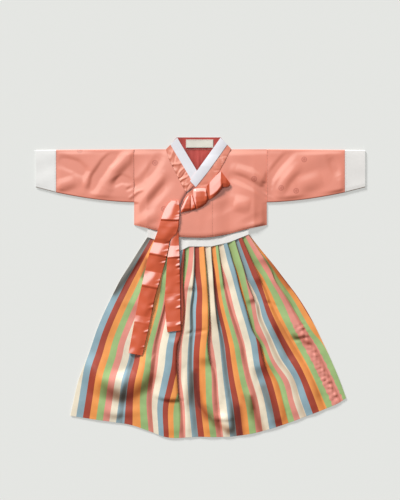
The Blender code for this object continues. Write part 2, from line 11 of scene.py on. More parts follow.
import bpy
import numpy as np
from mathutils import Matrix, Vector


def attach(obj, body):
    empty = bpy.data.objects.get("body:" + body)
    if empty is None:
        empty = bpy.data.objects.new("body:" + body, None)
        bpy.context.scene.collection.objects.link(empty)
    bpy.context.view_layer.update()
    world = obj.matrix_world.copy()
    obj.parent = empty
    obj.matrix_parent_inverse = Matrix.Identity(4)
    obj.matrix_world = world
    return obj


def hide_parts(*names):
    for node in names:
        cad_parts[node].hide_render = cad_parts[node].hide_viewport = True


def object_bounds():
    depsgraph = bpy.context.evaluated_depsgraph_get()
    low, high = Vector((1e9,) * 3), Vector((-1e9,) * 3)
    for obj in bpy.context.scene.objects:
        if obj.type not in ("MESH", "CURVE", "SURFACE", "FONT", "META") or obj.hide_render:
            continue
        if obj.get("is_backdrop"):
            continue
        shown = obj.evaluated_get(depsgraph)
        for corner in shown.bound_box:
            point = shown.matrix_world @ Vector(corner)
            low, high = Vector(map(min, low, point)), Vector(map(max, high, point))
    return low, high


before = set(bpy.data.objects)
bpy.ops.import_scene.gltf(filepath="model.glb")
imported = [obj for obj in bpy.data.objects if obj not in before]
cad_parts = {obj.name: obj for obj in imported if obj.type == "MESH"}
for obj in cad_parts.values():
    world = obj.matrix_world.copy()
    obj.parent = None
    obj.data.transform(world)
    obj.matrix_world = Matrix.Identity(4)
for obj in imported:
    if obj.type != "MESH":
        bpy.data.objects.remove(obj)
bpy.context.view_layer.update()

print("panels to dress:", len(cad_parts))

# %% [markdown]
# ## Camera, table and light
# The garment was photographed from straight above, so the camera looks down the Z axis. A long
# lens from far away keeps the outline free of perspective. The table is one large pale plane.
# Light comes from a large soft lamp up and to the left, which shades the right side of each
# fold, while a pale sky fills the shadows.

# %% Camera, table and light
IMAGE_HEIGHT = 1.140
LENS_MM, SENSOR_MM = 85.0, 36.0
AIM = (-0.0011, 0.0849)


def hex_colour(code):
    """A colour written as sRGB hex, as linear RGBA."""
    parts = [int(code[i:i + 2], 16) / 255 for i in (1, 3, 5)]
    return (*[c / 12.92 if c <= 0.04045 else ((c + 0.055) / 1.055) ** 2.4 for c in parts], 1.0)


def add_node(tree, kind, inputs=None, **settings):
    """Adds a node, sets its settings, and gives each named input a value or a link."""
    made = tree.nodes.new(kind)
    for name, value in settings.items():
        setattr(made, name, value)
    for name, value in (inputs or {}).items():
        if isinstance(value, bpy.types.NodeSocket):
            tree.links.new(value, made.inputs[name])
        else:
            made.inputs[name].default_value = value
    return made


def new_material(name):
    """An empty material of that name, with its tree and its shader."""
    material = bpy.data.materials.new(name)
    material.use_nodes = True
    tree = material.node_tree
    tree.nodes.clear()
    shader = add_node(tree, "ShaderNodeBsdfPrincipled")
    add_node(tree, "ShaderNodeOutputMaterial", {"Surface": shader.outputs["BSDF"]})
    return material, tree, shader


camera = bpy.data.objects.new("camera", bpy.data.cameras.new("camera"))
camera.data.lens = LENS_MM
camera.data.sensor_width = SENSOR_MM
camera.data.clip_end = 20
camera.location = (*AIM, IMAGE_HEIGHT / 2 * LENS_MM / (SENSOR_MM / 2))
bpy.context.scene.collection.objects.link(camera)
bpy.context.scene.camera = camera

table_material, tree, shader = new_material("matt_painted_board")
shader.inputs["Roughness"].default_value = 0.9
shader.inputs["Specular IOR Level"].default_value = 0.2
shader.inputs["Base Color"].default_value = hex_colour("#a5a6a4")
# The board glows a little, as a lit table does, so that shadows on it stay faint
shader.inputs["Emission Color"].default_value = hex_colour("#e6e7e3")
shader.inputs["Emission Strength"].default_value = 0.485
mesh = bpy.data.meshes.new("table")
TABLE_HALF, BELOW = 6, -0.0004
corners = [(x * TABLE_HALF, y * TABLE_HALF, BELOW) for x, y in ((-1, -1), (1, -1), (1, 1), (-1, 1))]
mesh.from_pydata(corners, [], [(0, 1, 2, 3)])
mesh.materials.append(table_material)
table = bpy.data.objects.new("table", mesh)
bpy.context.scene.collection.objects.link(table)
table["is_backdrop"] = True

LAMPS = (  # name, direction that it comes from, strength, angle it fills in degrees
    ("low_key", (-0.50, 0.76, 0.40), 5.2, 16.0),
    ("high_softbox", (-0.12, 0.25, 0.96), 0.80, 10.0),
)
for name, source, strength, angle in LAMPS:
    lamp = bpy.data.objects.new(name, bpy.data.lights.new(name, "SUN"))
    lamp.data.energy = strength
    lamp.data.angle = math.radians(angle)
    lamp.rotation_mode = "QUATERNION"
    lamp.rotation_quaternion = Vector(source).to_track_quat("Z", "Y")
    bpy.context.scene.collection.objects.link(lamp)

SKY_STRENGTH = 0.13
world = bpy.data.worlds.new("studio")
world.use_nodes = True
world.node_tree.nodes["Background"].inputs["Color"].default_value = hex_colour("#ffffff")
world.node_tree.nodes["Background"].inputs["Strength"].default_value = SKY_STRENGTH
bpy.context.scene.world = world
# The studio's white stays white: no film-like curve over the picture
bpy.context.scene.view_settings.view_transform = "Standard"
print("camera at", [round(v, 3) for v in camera.location])

# %% [markdown]
# ## Helpers that shape cloth
# Every panel is a grid of points, a row for each step down the cloth and a column for each step
# across. These first helpers draw lines and curves through short tables of points.

# %% Lines and curves
MM = 0.001


def on_line(points, x):
    """The second value of a table of points at x, along straight stretches."""
    ordered = sorted(points)
    return np.interp(x, [p[0] for p in ordered], [p[1] for p in ordered])


def on_curve(points, x):
    """The second value of a table of points at x, along a smooth curve through them."""
    ordered = sorted(points)
    xs = np.array([p[0] for p in ordered], float)
    ys = np.array([p[1] for p in ordered], float)
    slopes = np.gradient(ys, xs) if len(xs) > 2 else np.full(2, (ys[1] - ys[0]) / (xs[1] - xs[0]))
    x = np.clip(np.asarray(x, float), xs[0], xs[-1])
    i = np.clip(np.searchsorted(xs, x) - 1, 0, len(xs) - 2)
    width = xs[i + 1] - xs[i]
    t = (x - xs[i]) / width
    start = (2 * t**3 - 3 * t**2 + 1) * ys[i] + (t**3 - 2 * t**2 + t) * width * slopes[i]
    end = (3 * t**2 - 2 * t**3) * ys[i + 1] + (t**3 - t**2) * width * slopes[i + 1]
    return start + end


def smooth(value, low=0.0, high=1.0):
    """0 at low and below, 1 at high and above, easing in between."""
    t = np.clip((value - low) / (high - low), 0, 1)
    return t * t * (3 - 2 * t)


def near_line(x, y, points):
    """Distance from a bent line, how far along it from 0 to 1, and 1 to its right or -1 to its left."""
    points = np.array(points, float)
    lengths = np.hypot(*(points[1:] - points[:-1]).T)
    total = lengths.sum()
    best, along, side = np.full(np.shape(x), 1e9), np.zeros(np.shape(x)), np.ones(np.shape(x))
    done = 0.0
    for (x0, y0), (x1, y1), length in zip(points, points[1:], lengths):
        t = np.clip(((x - x0) * (x1 - x0) + (y - y0) * (y1 - y0)) / length**2, 0, 1)
        gap = np.hypot(x - x0 - t * (x1 - x0), y - y0 - t * (y1 - y0))
        turn = np.where((x1 - x0) * (y - y0) - (y1 - y0) * (x - x0) < 0, 1.0, -1.0)
        closer = gap < best
        best, side = np.where(closer, gap, best), np.where(closer, turn, side)
        along = np.where(closer, (done + t * length) / total, along)
        done += length
    return best, along, side


# %% [markdown]
# A crease is a soft trough or ridge that follows a short line: its depth fades away from the line
# and towards its ends. Ripples are the low uneven swells that any cloth keeps, and a facet net is
# for ribbon, which bends in flat stretches.

# %% Creases, ripples and facets
def crease_height(x, y, creases):
    """Height that a table of creases adds at points x, y, all in metres."""
    height = np.zeros(np.shape(x))
    for _, points, left, right, lift in creases:
        gap, along, side = near_line(x / MM, y / MM, points)
        taper = 0.3 + 0.7 * np.sin(math.pi * along) ** 0.7
        reach = np.where(side > 0, right, left)
        height += lift * MM * taper * np.clip(1 - (gap / reach) ** 2, 0, 1) ** 2
    return height


def ripple(x, y, size, seed):
    """Low uneven swells from -1 to 1, with humps about size metres across."""
    total = 0.0
    draws = np.random.default_rng(seed)
    for _ in range(7):
        angle, phase = draws.uniform(0, math.pi), draws.uniform(0, 2 * math.pi)
        pitch = size * draws.uniform(1.4, 2.6)
        total = total + np.sin(2 * math.pi * (x * math.cos(angle) + y * math.sin(angle)) / pitch + phase)
    return total / 4.2


def facet_net(net, rows, columns, soften=1):
    """A fine grid over the flat facets between a small net of points, its folds slightly rounded."""
    net = np.array(net, float) * MM

    def spread(points, count):
        places = np.arange(len(points))
        wanted = np.linspace(0, len(points) - 1, count)
        flat = points.reshape(len(points), -1)
        fine = [np.interp(wanted, places, flat[:, k]) for k in range(flat.shape[1])]
        return np.array(fine).T.reshape(count, *points.shape[1:])

    fine = spread(spread(net, rows).transpose(1, 0, 2), columns).transpose(1, 0, 2)
    for _ in range(soften):
        fine[1:-1] = (fine[:-2] + 2 * fine[1:-1] + fine[2:]) / 4
        fine[:, 1:-1] = (fine[:, :-2] + 2 * fine[:, 1:-1] + fine[:, 2:]) / 4
    return fine


def plan_area(points):
    """Area of a grid of points as cut, measured over its faces."""
    across = points[:, 1:] - points[:, :-1]
    down = points[1:] - points[:-1]
    return float(np.linalg.norm(np.cross(across[:-1], down[:, :-1]), axis=2).sum())


# %% [markdown]
# ## Painted shading, highlights and gap shadows
# The folds are painted as well as shaped. The side of a fold that turns away from the window gets
# painted shade and the side that turns to it a little painted light, satin that turns towards it
# gets a pale painted highlight, and a narrow gap between two layers gets a painted dark line. Each
# of them is worked out from the shape and kept as one value at each point, which the materials read.

# %% Painted shading, highlights and gap shadows
SHADE_SIDE = np.array([0.55, -0.83, 0.0])
LIT_SIDE = np.array([-0.45, 0.89, 0.0])


def lean(points, side):
    """How far each place of a grid leans to one side, as the sine of its slope."""
    normal = np.cross(np.gradient(points, axis=0), np.gradient(points, axis=1))
    normal *= np.sign(normal[:, :, 2:3] + 1e-12)
    normal /= np.linalg.norm(normal, axis=2)[:, :, None] + 1e-12
    return normal @ side


def painted_fold_shading(points, depth):
    """Painted shade, below 1, on the sides of folds that turn away from the window, and painted light, above
    1, on the sides that turn to it.
    """
    away = lean(points, SHADE_SIDE)
    return 1 - depth * smooth(away, 0.03, 0.42) + 0.25 * depth * smooth(-away, 0.05, 0.40)


def painted_highlight_share(points):
    """Painted highlight share: 1 where satin turns its long floats to the window, 0 where it lies flat."""
    toward = lean(points, LIT_SIDE)
    return smooth(toward, 0.02, 0.10) * (1 - smooth(toward, 0.60, 0.85))


def painted_gap_shadow(x, y, points, reach_mm, strength):
    """A painted shadow line along a narrow gap that runs along a bent line, 1 away from it."""
    gap = near_line(x / MM, y / MM, [(px / MM, py / MM) for px, py in points])[0]
    return 1 - strength * np.exp(-((gap / reach_mm) ** 2))


# %% [markdown]
# ## From a grid to a piece of cloth
# A grid becomes a mesh with its own map, and Solidify gives it the thickness of the cloth. One
# more row of points close inside each edge keeps the edge crisp under smooth shading.

# %% From a grid to a piece of cloth
EDGE_LOOP = 0.00025


def kept_edges(grid, first, second, margin):
    """The same grid with one more row close to its first and last ones, so that edges stay crisp."""
    near = np.clip(margin / (np.linalg.norm(first, axis=1).mean() + 1e-9), 0, 0.5)
    far = np.clip(margin / (np.linalg.norm(second, axis=1).mean() + 1e-9), 0, 0.5)
    head = grid[0] + (grid[1] - grid[0]) * near
    tail = grid[-1] + (grid[-2] - grid[-1]) * far
    return np.concatenate([grid[:1], head[None], grid[1:-1], tail[None], grid[-1:]])


def add_cloth(name, points, uv, wall, material, around=False, offset=1.0, depth=0.5, shade=1.0):
    """A grid of points as a mesh object with its own UV map and a wall of that thickness."""
    data = np.concatenate([points, uv, (np.ones(points.shape[:2]) * shade)[:, :, None]], axis=2)
    data = kept_edges(data, points[1] - points[0], points[-2] - points[-1], EDGE_LOOP)
    if not around:
        turned = data.transpose(1, 0, 2)
        first, second = (turned[k, :, :3] - turned[edge, :, :3] for k, edge in ((1, 0), (-2, -1)))
        turned = kept_edges(turned, first, second, EDGE_LOOP)
        data = turned.transpose(1, 0, 2)
    points, uv, shade = data[:, :, :3], data[:, :, 3:5], data[:, :, 5]
    rows, columns = points.shape[:2]
    # Painted shading of the fold slopes times the painted shade given, and a painted highlight where satin
    # turns to the window
    painted_shading = (painted_fold_shading(points, depth) * shade).reshape(-1)
    painted_highlight = (painted_highlight_share(points) * np.clip(shade, 0, 1)).reshape(-1)
    index = np.arange(rows * columns).reshape(rows, columns)
    if around:
        index = np.hstack([index, index[:, :1]])
        uv = np.concatenate([uv, uv[:, :1] + [[(1.0, 0.0)]] * np.array([[[1.0]]])], axis=1)
    corners = [index[:-1, :-1], index[1:, :-1], index[1:, 1:], index[:-1, 1:]]
    faces = np.stack(corners, axis=2).reshape(-1, 4)
    mesh = bpy.data.meshes.new(name)
    mesh.from_pydata(points.reshape(-1, 3).tolist(), [], faces.tolist())
    marks = [uv[:-1, :-1], uv[1:, :-1], uv[1:, 1:], uv[:-1, 1:]]
    layer = mesh.uv_layers.new(name="cloth")
    layer.data.foreach_set("uv", np.stack(marks, axis=2).reshape(-1).astype(float))
    mesh.attributes.new("painted_shading", "FLOAT", "POINT").data.foreach_set("value", painted_shading)
    mesh.attributes.new("painted_highlight", "FLOAT", "POINT").data.foreach_set("value", painted_highlight)
    mesh.materials.append(material)
    mesh.shade_smooth()
    piece = bpy.data.objects.new(name, mesh)
    bpy.context.scene.collection.objects.link(piece)
    thicken = piece.modifiers.new("wall", "SOLIDIFY")
    thicken.thickness = wall
    thicken.offset = offset
    thicken.use_even_offset = False
    return piece


def declare(piece, node, flat, area=None):
    """Ties a piece of cloth to the body and hides the CAD node that it dresses; the cut that it is given has
    no effect.
    """
    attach(piece, "root")
    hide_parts(node)
    if area is not None:
        area = min(area, flat[0] * flat[1])


def flat_uv(points):
    """The cloth's own coordinates in metres, for a panel that lies flat."""
    return points[:, :, :2].copy()


print("edges kept crisp by a row of points", EDGE_LOOP / MM, "mm inside them")


# %% [markdown]
# ## Striped satin
# The skirt is a smooth satin with stripes in a repeat of six colours: cream, blue, rust, orange,
# green and pink. Satin is woven with long floats along the warp, so it catches the light as
# long soft streaks. The stripe is read from the cloth's own coordinate, which counts stripes
# from the left edge, so the colours follow the pleats even where they fold under. The repeat
# turns back on itself at the side seam, as the back panel mirrors the front.

# %% Striped satin
STRIPE = 0.0148
STRIPE_COLOURS = ("#e6dac2", "#8aa6b0", "#a3412d", "#ee994e", "#9cb978", "#e18f80")
MIRROR_AT = 83.0


def satin_bump(tree, vector, across_mm, along_mm, depth):
    """The fine streaks of satin's long floats, as a normal."""
    stretched = add_node(tree, "ShaderNodeMapping", {
        "Vector": vector, "Scale": (1 / (across_mm * MM), 1 / (along_mm * MM), 1 / (across_mm * MM)),
    })
    floats = add_node(tree, "ShaderNodeTexNoise", {
        "Vector": stretched.outputs["Vector"], "Scale": 1.0, "Detail": 2.0, "Roughness": 0.6,
    })
    return add_node(tree, "ShaderNodeBump", {
        "Height": floats.outputs["Fac"], "Strength": depth, "Distance": 0.0004,
    }).outputs["Normal"]


def with_painted_shading(tree, colour):
    """A colour multiplied by the painted shading, which darkens green and blue a little more than red."""
    painted_shading = add_node(tree, "ShaderNodeAttribute", attribute_name="painted_shading").outputs["Fac"]
    level = add_node(tree, "ShaderNodeVectorMath", {0: painted_shading, 1: (0.85, 1.35, 1.65)}, operation="POWER")
    return add_node(tree, "ShaderNodeVectorMath", {
        0: colour, 1: level.outputs["Vector"],
    }, operation="MULTIPLY").outputs["Vector"]


def uneven(tree, vector, colour, size_mm, low, high):
    """A colour made slightly lighter and darker in broad clouds, as light does on worn satin."""
    clouds = add_node(tree, "ShaderNodeTexNoise", {
        "Vector": vector, "Scale": 1 / (size_mm * MM), "Detail": 3.0, "Roughness": 0.55,
    })
    level = add_node(tree, "ShaderNodeMapRange", {
        "Value": clouds.outputs["Fac"], "From Min": 0.3, "From Max": 0.7, "To Min": low, "To Max": high,
    })
    cloudy = add_node(tree, "ShaderNodeVectorMath", {
        0: colour, "Scale": level.outputs["Result"],
    }, operation="SCALE")
    # The painted shading of folds and gaps goes over the clouds last
    return with_painted_shading(tree, cloudy.outputs["Vector"])


striped_satin, tree, shader = new_material("striped_woven_satin")
# Close weave with a soft sheen: the stripes stay bright, with pale streaks on the folds
shader.inputs["Roughness"].default_value = 0.46
shader.inputs["Specular IOR Level"].default_value = 0.45
shader.inputs["Sheen Weight"].default_value = 0.12
shader.inputs["Sheen Roughness"].default_value = 0.45
cloth_map = add_node(tree, "ShaderNodeUVMap", uv_map="cloth")
split = add_node(tree, "ShaderNodeSeparateXYZ", {"Vector": cloth_map.outputs["UV"]})
back = add_node(tree, "ShaderNodeMath", {0: MIRROR_AT, 1: split.outputs["X"]}, operation="SUBTRACT")
count = add_node(tree, "ShaderNodeMath", {
    0: split.outputs["X"], 1: back.outputs["Value"],
}, operation="MINIMUM")
place = add_node(tree, "ShaderNodeMath", {0: count.outputs["Value"], 1: 6.0}, operation="FLOORED_MODULO")
share = add_node(tree, "ShaderNodeMath", {0: place.outputs["Value"], 1: 6.0}, operation="DIVIDE")
ramp = add_node(tree, "ShaderNodeValToRGB", {"Fac": share.outputs["Value"]})
ramp.color_ramp.interpolation = "CONSTANT"
for number, code in enumerate(STRIPE_COLOURS):
    stop = ramp.color_ramp.elements[number] if number < 2 else ramp.color_ramp.elements.new(number / 6)
    stop.position = number / 6
    stop.color = hex_colour(code)
# One stripe is 14.8 mm, so the warp streaks of 0.9 by 12 mm are 0.06 of a stripe wide
in_metres = add_node(tree, "ShaderNodeVectorMath", {
    0: cloth_map.outputs["UV"], 1: (STRIPE, 1, 1),
}, operation="MULTIPLY")
tinted = uneven(tree, in_metres.outputs["Vector"], ramp.outputs["Color"], 38, 0.88, 1.07)
tree.links.new(tinted, shader.inputs["Base Color"])
tree.links.new(satin_bump(tree, in_metres.outputs["Vector"], 0.9, 12.0, 0.22), shader.inputs["Normal"])
print("stripes across the skirt:", round(0.636 / STRIPE))

# %% [markdown]
# ## Salmon satin with woven figures
# The jacket is a salmon satin damask. Small round flowers are woven into it in the same colour,
# so they only show as slightly duller spots. The figures are few and far apart, so their
# places are listed, and one pattern of a ring round a five-petalled flower serves for all.

# %% Salmon satin
FIGURES_MM = (
    (183.5, 226.3), (122.0, 246.8), (-83.2, 178.4), (-103.7, 283.3), (-275.0, 311.8), (217.7, 219.5),
    (236.0, 291.0),
)
FIGURE_RADIUS_MM = 6.2


def figure_mask(tree, vector):
    """1 on the woven figures and 0 between them."""
    total = None
    for x, y in FIGURES_MM:
        local = add_node(tree, "ShaderNodeVectorMath", {
            0: vector, 1: (x * MM, y * MM, 0),
        }, operation="SUBTRACT")
        split = add_node(tree, "ShaderNodeSeparateXYZ", {"Vector": local.outputs["Vector"]})
        flat = add_node(tree, "ShaderNodeCombineXYZ", {"X": split.outputs["X"], "Y": split.outputs["Y"]})
        gap = add_node(tree, "ShaderNodeVectorMath", {0: flat.outputs["Vector"]}, operation="LENGTH")
        angle = add_node(tree, "ShaderNodeMath", {
            0: split.outputs["Y"], 1: split.outputs["X"],
        }, operation="ARCTAN2")
        turn = add_node(tree, "ShaderNodeMath", {0: angle.outputs["Value"], 1: 5.0}, operation="MULTIPLY")
        petal = add_node(tree, "ShaderNodeMath", {0: turn.outputs["Value"]}, operation="COSINE")
        reach = add_node(tree, "ShaderNodeMapRange", {
            "Value": petal.outputs["Value"], "From Min": -1.0, "From Max": 1.0,
            "To Min": 0.0022, "To Max": 0.0040,
        })
        flower = add_node(tree, "ShaderNodeMath", {
            0: gap.outputs["Value"], 1: reach.outputs["Result"],
        }, operation="LESS_THAN")
        middle = FIGURE_RADIUS_MM * MM * 0.86
        ring = add_node(tree, "ShaderNodeMath", {
            0: gap.outputs["Value"], 1: middle, 2: 0.0012,
        }, operation="COMPARE")
        both = add_node(tree, "ShaderNodeMath", {
            0: flower.outputs["Value"], 1: ring.outputs["Value"],
        }, operation="MAXIMUM")
        if total is not None:
            both = add_node(tree, "ShaderNodeMath", {
                0: both.outputs["Value"], 1: total,
            }, operation="MAXIMUM")
        total = both.outputs["Value"]
    return total


def satin(name, code, roughness, highlight_colour, strength, figures=False, cloud=(0.94, 1.04)):
    """A plain satin of one colour, its warp running down the garment."""
    material, tree, shader = new_material(name)
    shader.inputs["Roughness"].default_value = roughness
    shader.inputs["Specular IOR Level"].default_value = 0.75
    shader.inputs["Sheen Weight"].default_value = 0.05
    shader.inputs["Sheen Roughness"].default_value = 0.4
    place = add_node(tree, "ShaderNodeTexCoord").outputs["Object"]
    plain = add_node(tree, "ShaderNodeRGB")
    plain.outputs["Color"].default_value = hex_colour(code)
    colour = uneven(tree, place, plain.outputs["Color"], 60, *cloud)
    if figures:
        dull = add_node(tree, "ShaderNodeMapRange", {
            "Value": figure_mask(tree, place), "To Min": 1.0, "To Max": 0.62,
        })
        level = add_node(tree, "ShaderNodeVectorMath", {
            0: dull.outputs["Result"], 1: (0.6, 1.0, 1.1),
        }, operation="POWER")
        colour = add_node(tree, "ShaderNodeVectorMath", {
            0: colour, 1: level.outputs["Vector"],
        }, operation="MULTIPLY").outputs["Vector"]
    # Painted highlight: where the satin turns to the window, the colour is mixed towards a pale one
    painted_highlight = add_node(tree, "ShaderNodeAttribute", attribute_name="painted_highlight").outputs["Fac"]
    highlight_amount = add_node(tree, "ShaderNodeMath", {0: painted_highlight, 1: strength}, operation="MULTIPLY")
    highlight_node = add_node(tree, "ShaderNodeRGB")
    highlight_node.outputs["Color"].default_value = hex_colour(highlight_colour)
    mixed = add_node(tree, "ShaderNodeMix", data_type="RGBA")
    tree.links.new(highlight_amount.outputs["Value"], mixed.inputs["Factor"])
    tree.links.new(colour, mixed.inputs[6])
    tree.links.new(highlight_node.outputs["Color"], mixed.inputs[7])
    colour = mixed.outputs[2]
    tree.links.new(colour, shader.inputs["Base Color"])
    tree.links.new(satin_bump(tree, place, 0.8, 10.0, 0.18), shader.inputs["Normal"])
    return material


# The second colour and the number after it are each satin's painted highlight colour and its strength
salmon_satin = satin("salmon_satin_damask", "#e0866f", 0.46, "#f2b3a0", 0.36, figures=True)
print("woven figures:", len(FIGURES_MM))
# The collar bands have no figure, and their satin looks a little deeper
collar_satin = satin("salmon_satin_plain", "#da7b60", 0.42, "#f2b09a", 0.45)
# The ties are a deeper, glossier satin
coral_satin = satin("coral_satin_ribbon", "#d4582f", 0.38, "#f6b1a4", 0.92)

# %% [markdown]
# ## Plain cloths
# The cuffs, waistband, straps and the strip on the collar are white cotton: matt, with a fine
# even weave. The lining is a thin red cloth with a slight shine, and the label a bare cream
# ribbon. The weave is drawn about four times too coarse, as its real threads of 0.25 mm would
# vanish in the picture.

# %% Plain cloths
def plain_cloth(name, code, thread_mm, roughness, gloss, depth=0.25, cloud=(0.97, 1.02)):
    """A plain weave of one colour: threads over and under each other in both directions."""
    material, tree, shader = new_material(name)
    shader.inputs["Roughness"].default_value = roughness
    shader.inputs["Specular IOR Level"].default_value = gloss
    shader.inputs["Sheen Weight"].default_value = 0.1
    place = add_node(tree, "ShaderNodeTexCoord").outputs["Object"]
    plain = add_node(tree, "ShaderNodeRGB")
    plain.outputs["Color"].default_value = hex_colour(code)
    tree.links.new(uneven(tree, place, plain.outputs["Color"], 40, *cloud), shader.inputs["Base Color"])
    waves = []
    for axis in ("X", "Y"):
        waves.append(add_node(tree, "ShaderNodeTexWave", {
            "Vector": place, "Scale": 0.314 / (thread_mm * MM), "Distortion": 1.2, "Detail": 2.0,
            "Detail Scale": 0.4,
        }, bands_direction=axis).outputs["Fac"])
    weave = add_node(tree, "ShaderNodeMath", {0: waves[0], 1: waves[1]}, operation="MULTIPLY")
    bump = add_node(tree, "ShaderNodeBump", {
        "Height": weave.outputs["Value"], "Strength": depth, "Distance": 0.0003,
    })
    tree.links.new(bump.outputs["Normal"], shader.inputs["Normal"])
    return material


white_cotton = plain_cloth("white_cotton_poplin", "#e4e3e0", 1.0, 0.85, 0.25)
collar_strip = plain_cloth("white_cotton_tape", "#dedde2", 1.0, 0.7, 0.3)
red_lining = plain_cloth("red_lining_taffeta", "#b8443c", 0.9, 0.55, 0.4, cloud=(0.85, 1.08))
label_weave = plain_cloth("cream_woven_ribbon", "#dedacd", 0.8, 0.7, 0.3)
salmon_thread = plain_cloth("salmon_cotton_thread", "#c9664e", 0.5, 0.7, 0.3)
white_thread = plain_cloth("white_cotton_thread", "#efeee9", 0.5, 0.7, 0.3)
print("materials:", len(bpy.data.materials))

# %% [markdown]
# ## The skirt's front
# A chima is straight lengths of cloth pleated into a band. Each pleat is a knife fold: the face
# runs to the folded edge, turns under, goes back to the left, turns again and comes out as the
# next face. Pressing holds the folds at the waist, and they open into soft waves towards the
# hem. The table follows each folded edge down the skirt. A row gives its place in millimetres
# and the count of stripes just before the edge and just after it, so the stripes between the
# two lie hidden in the fold. Where both counts agree, the fold has opened.

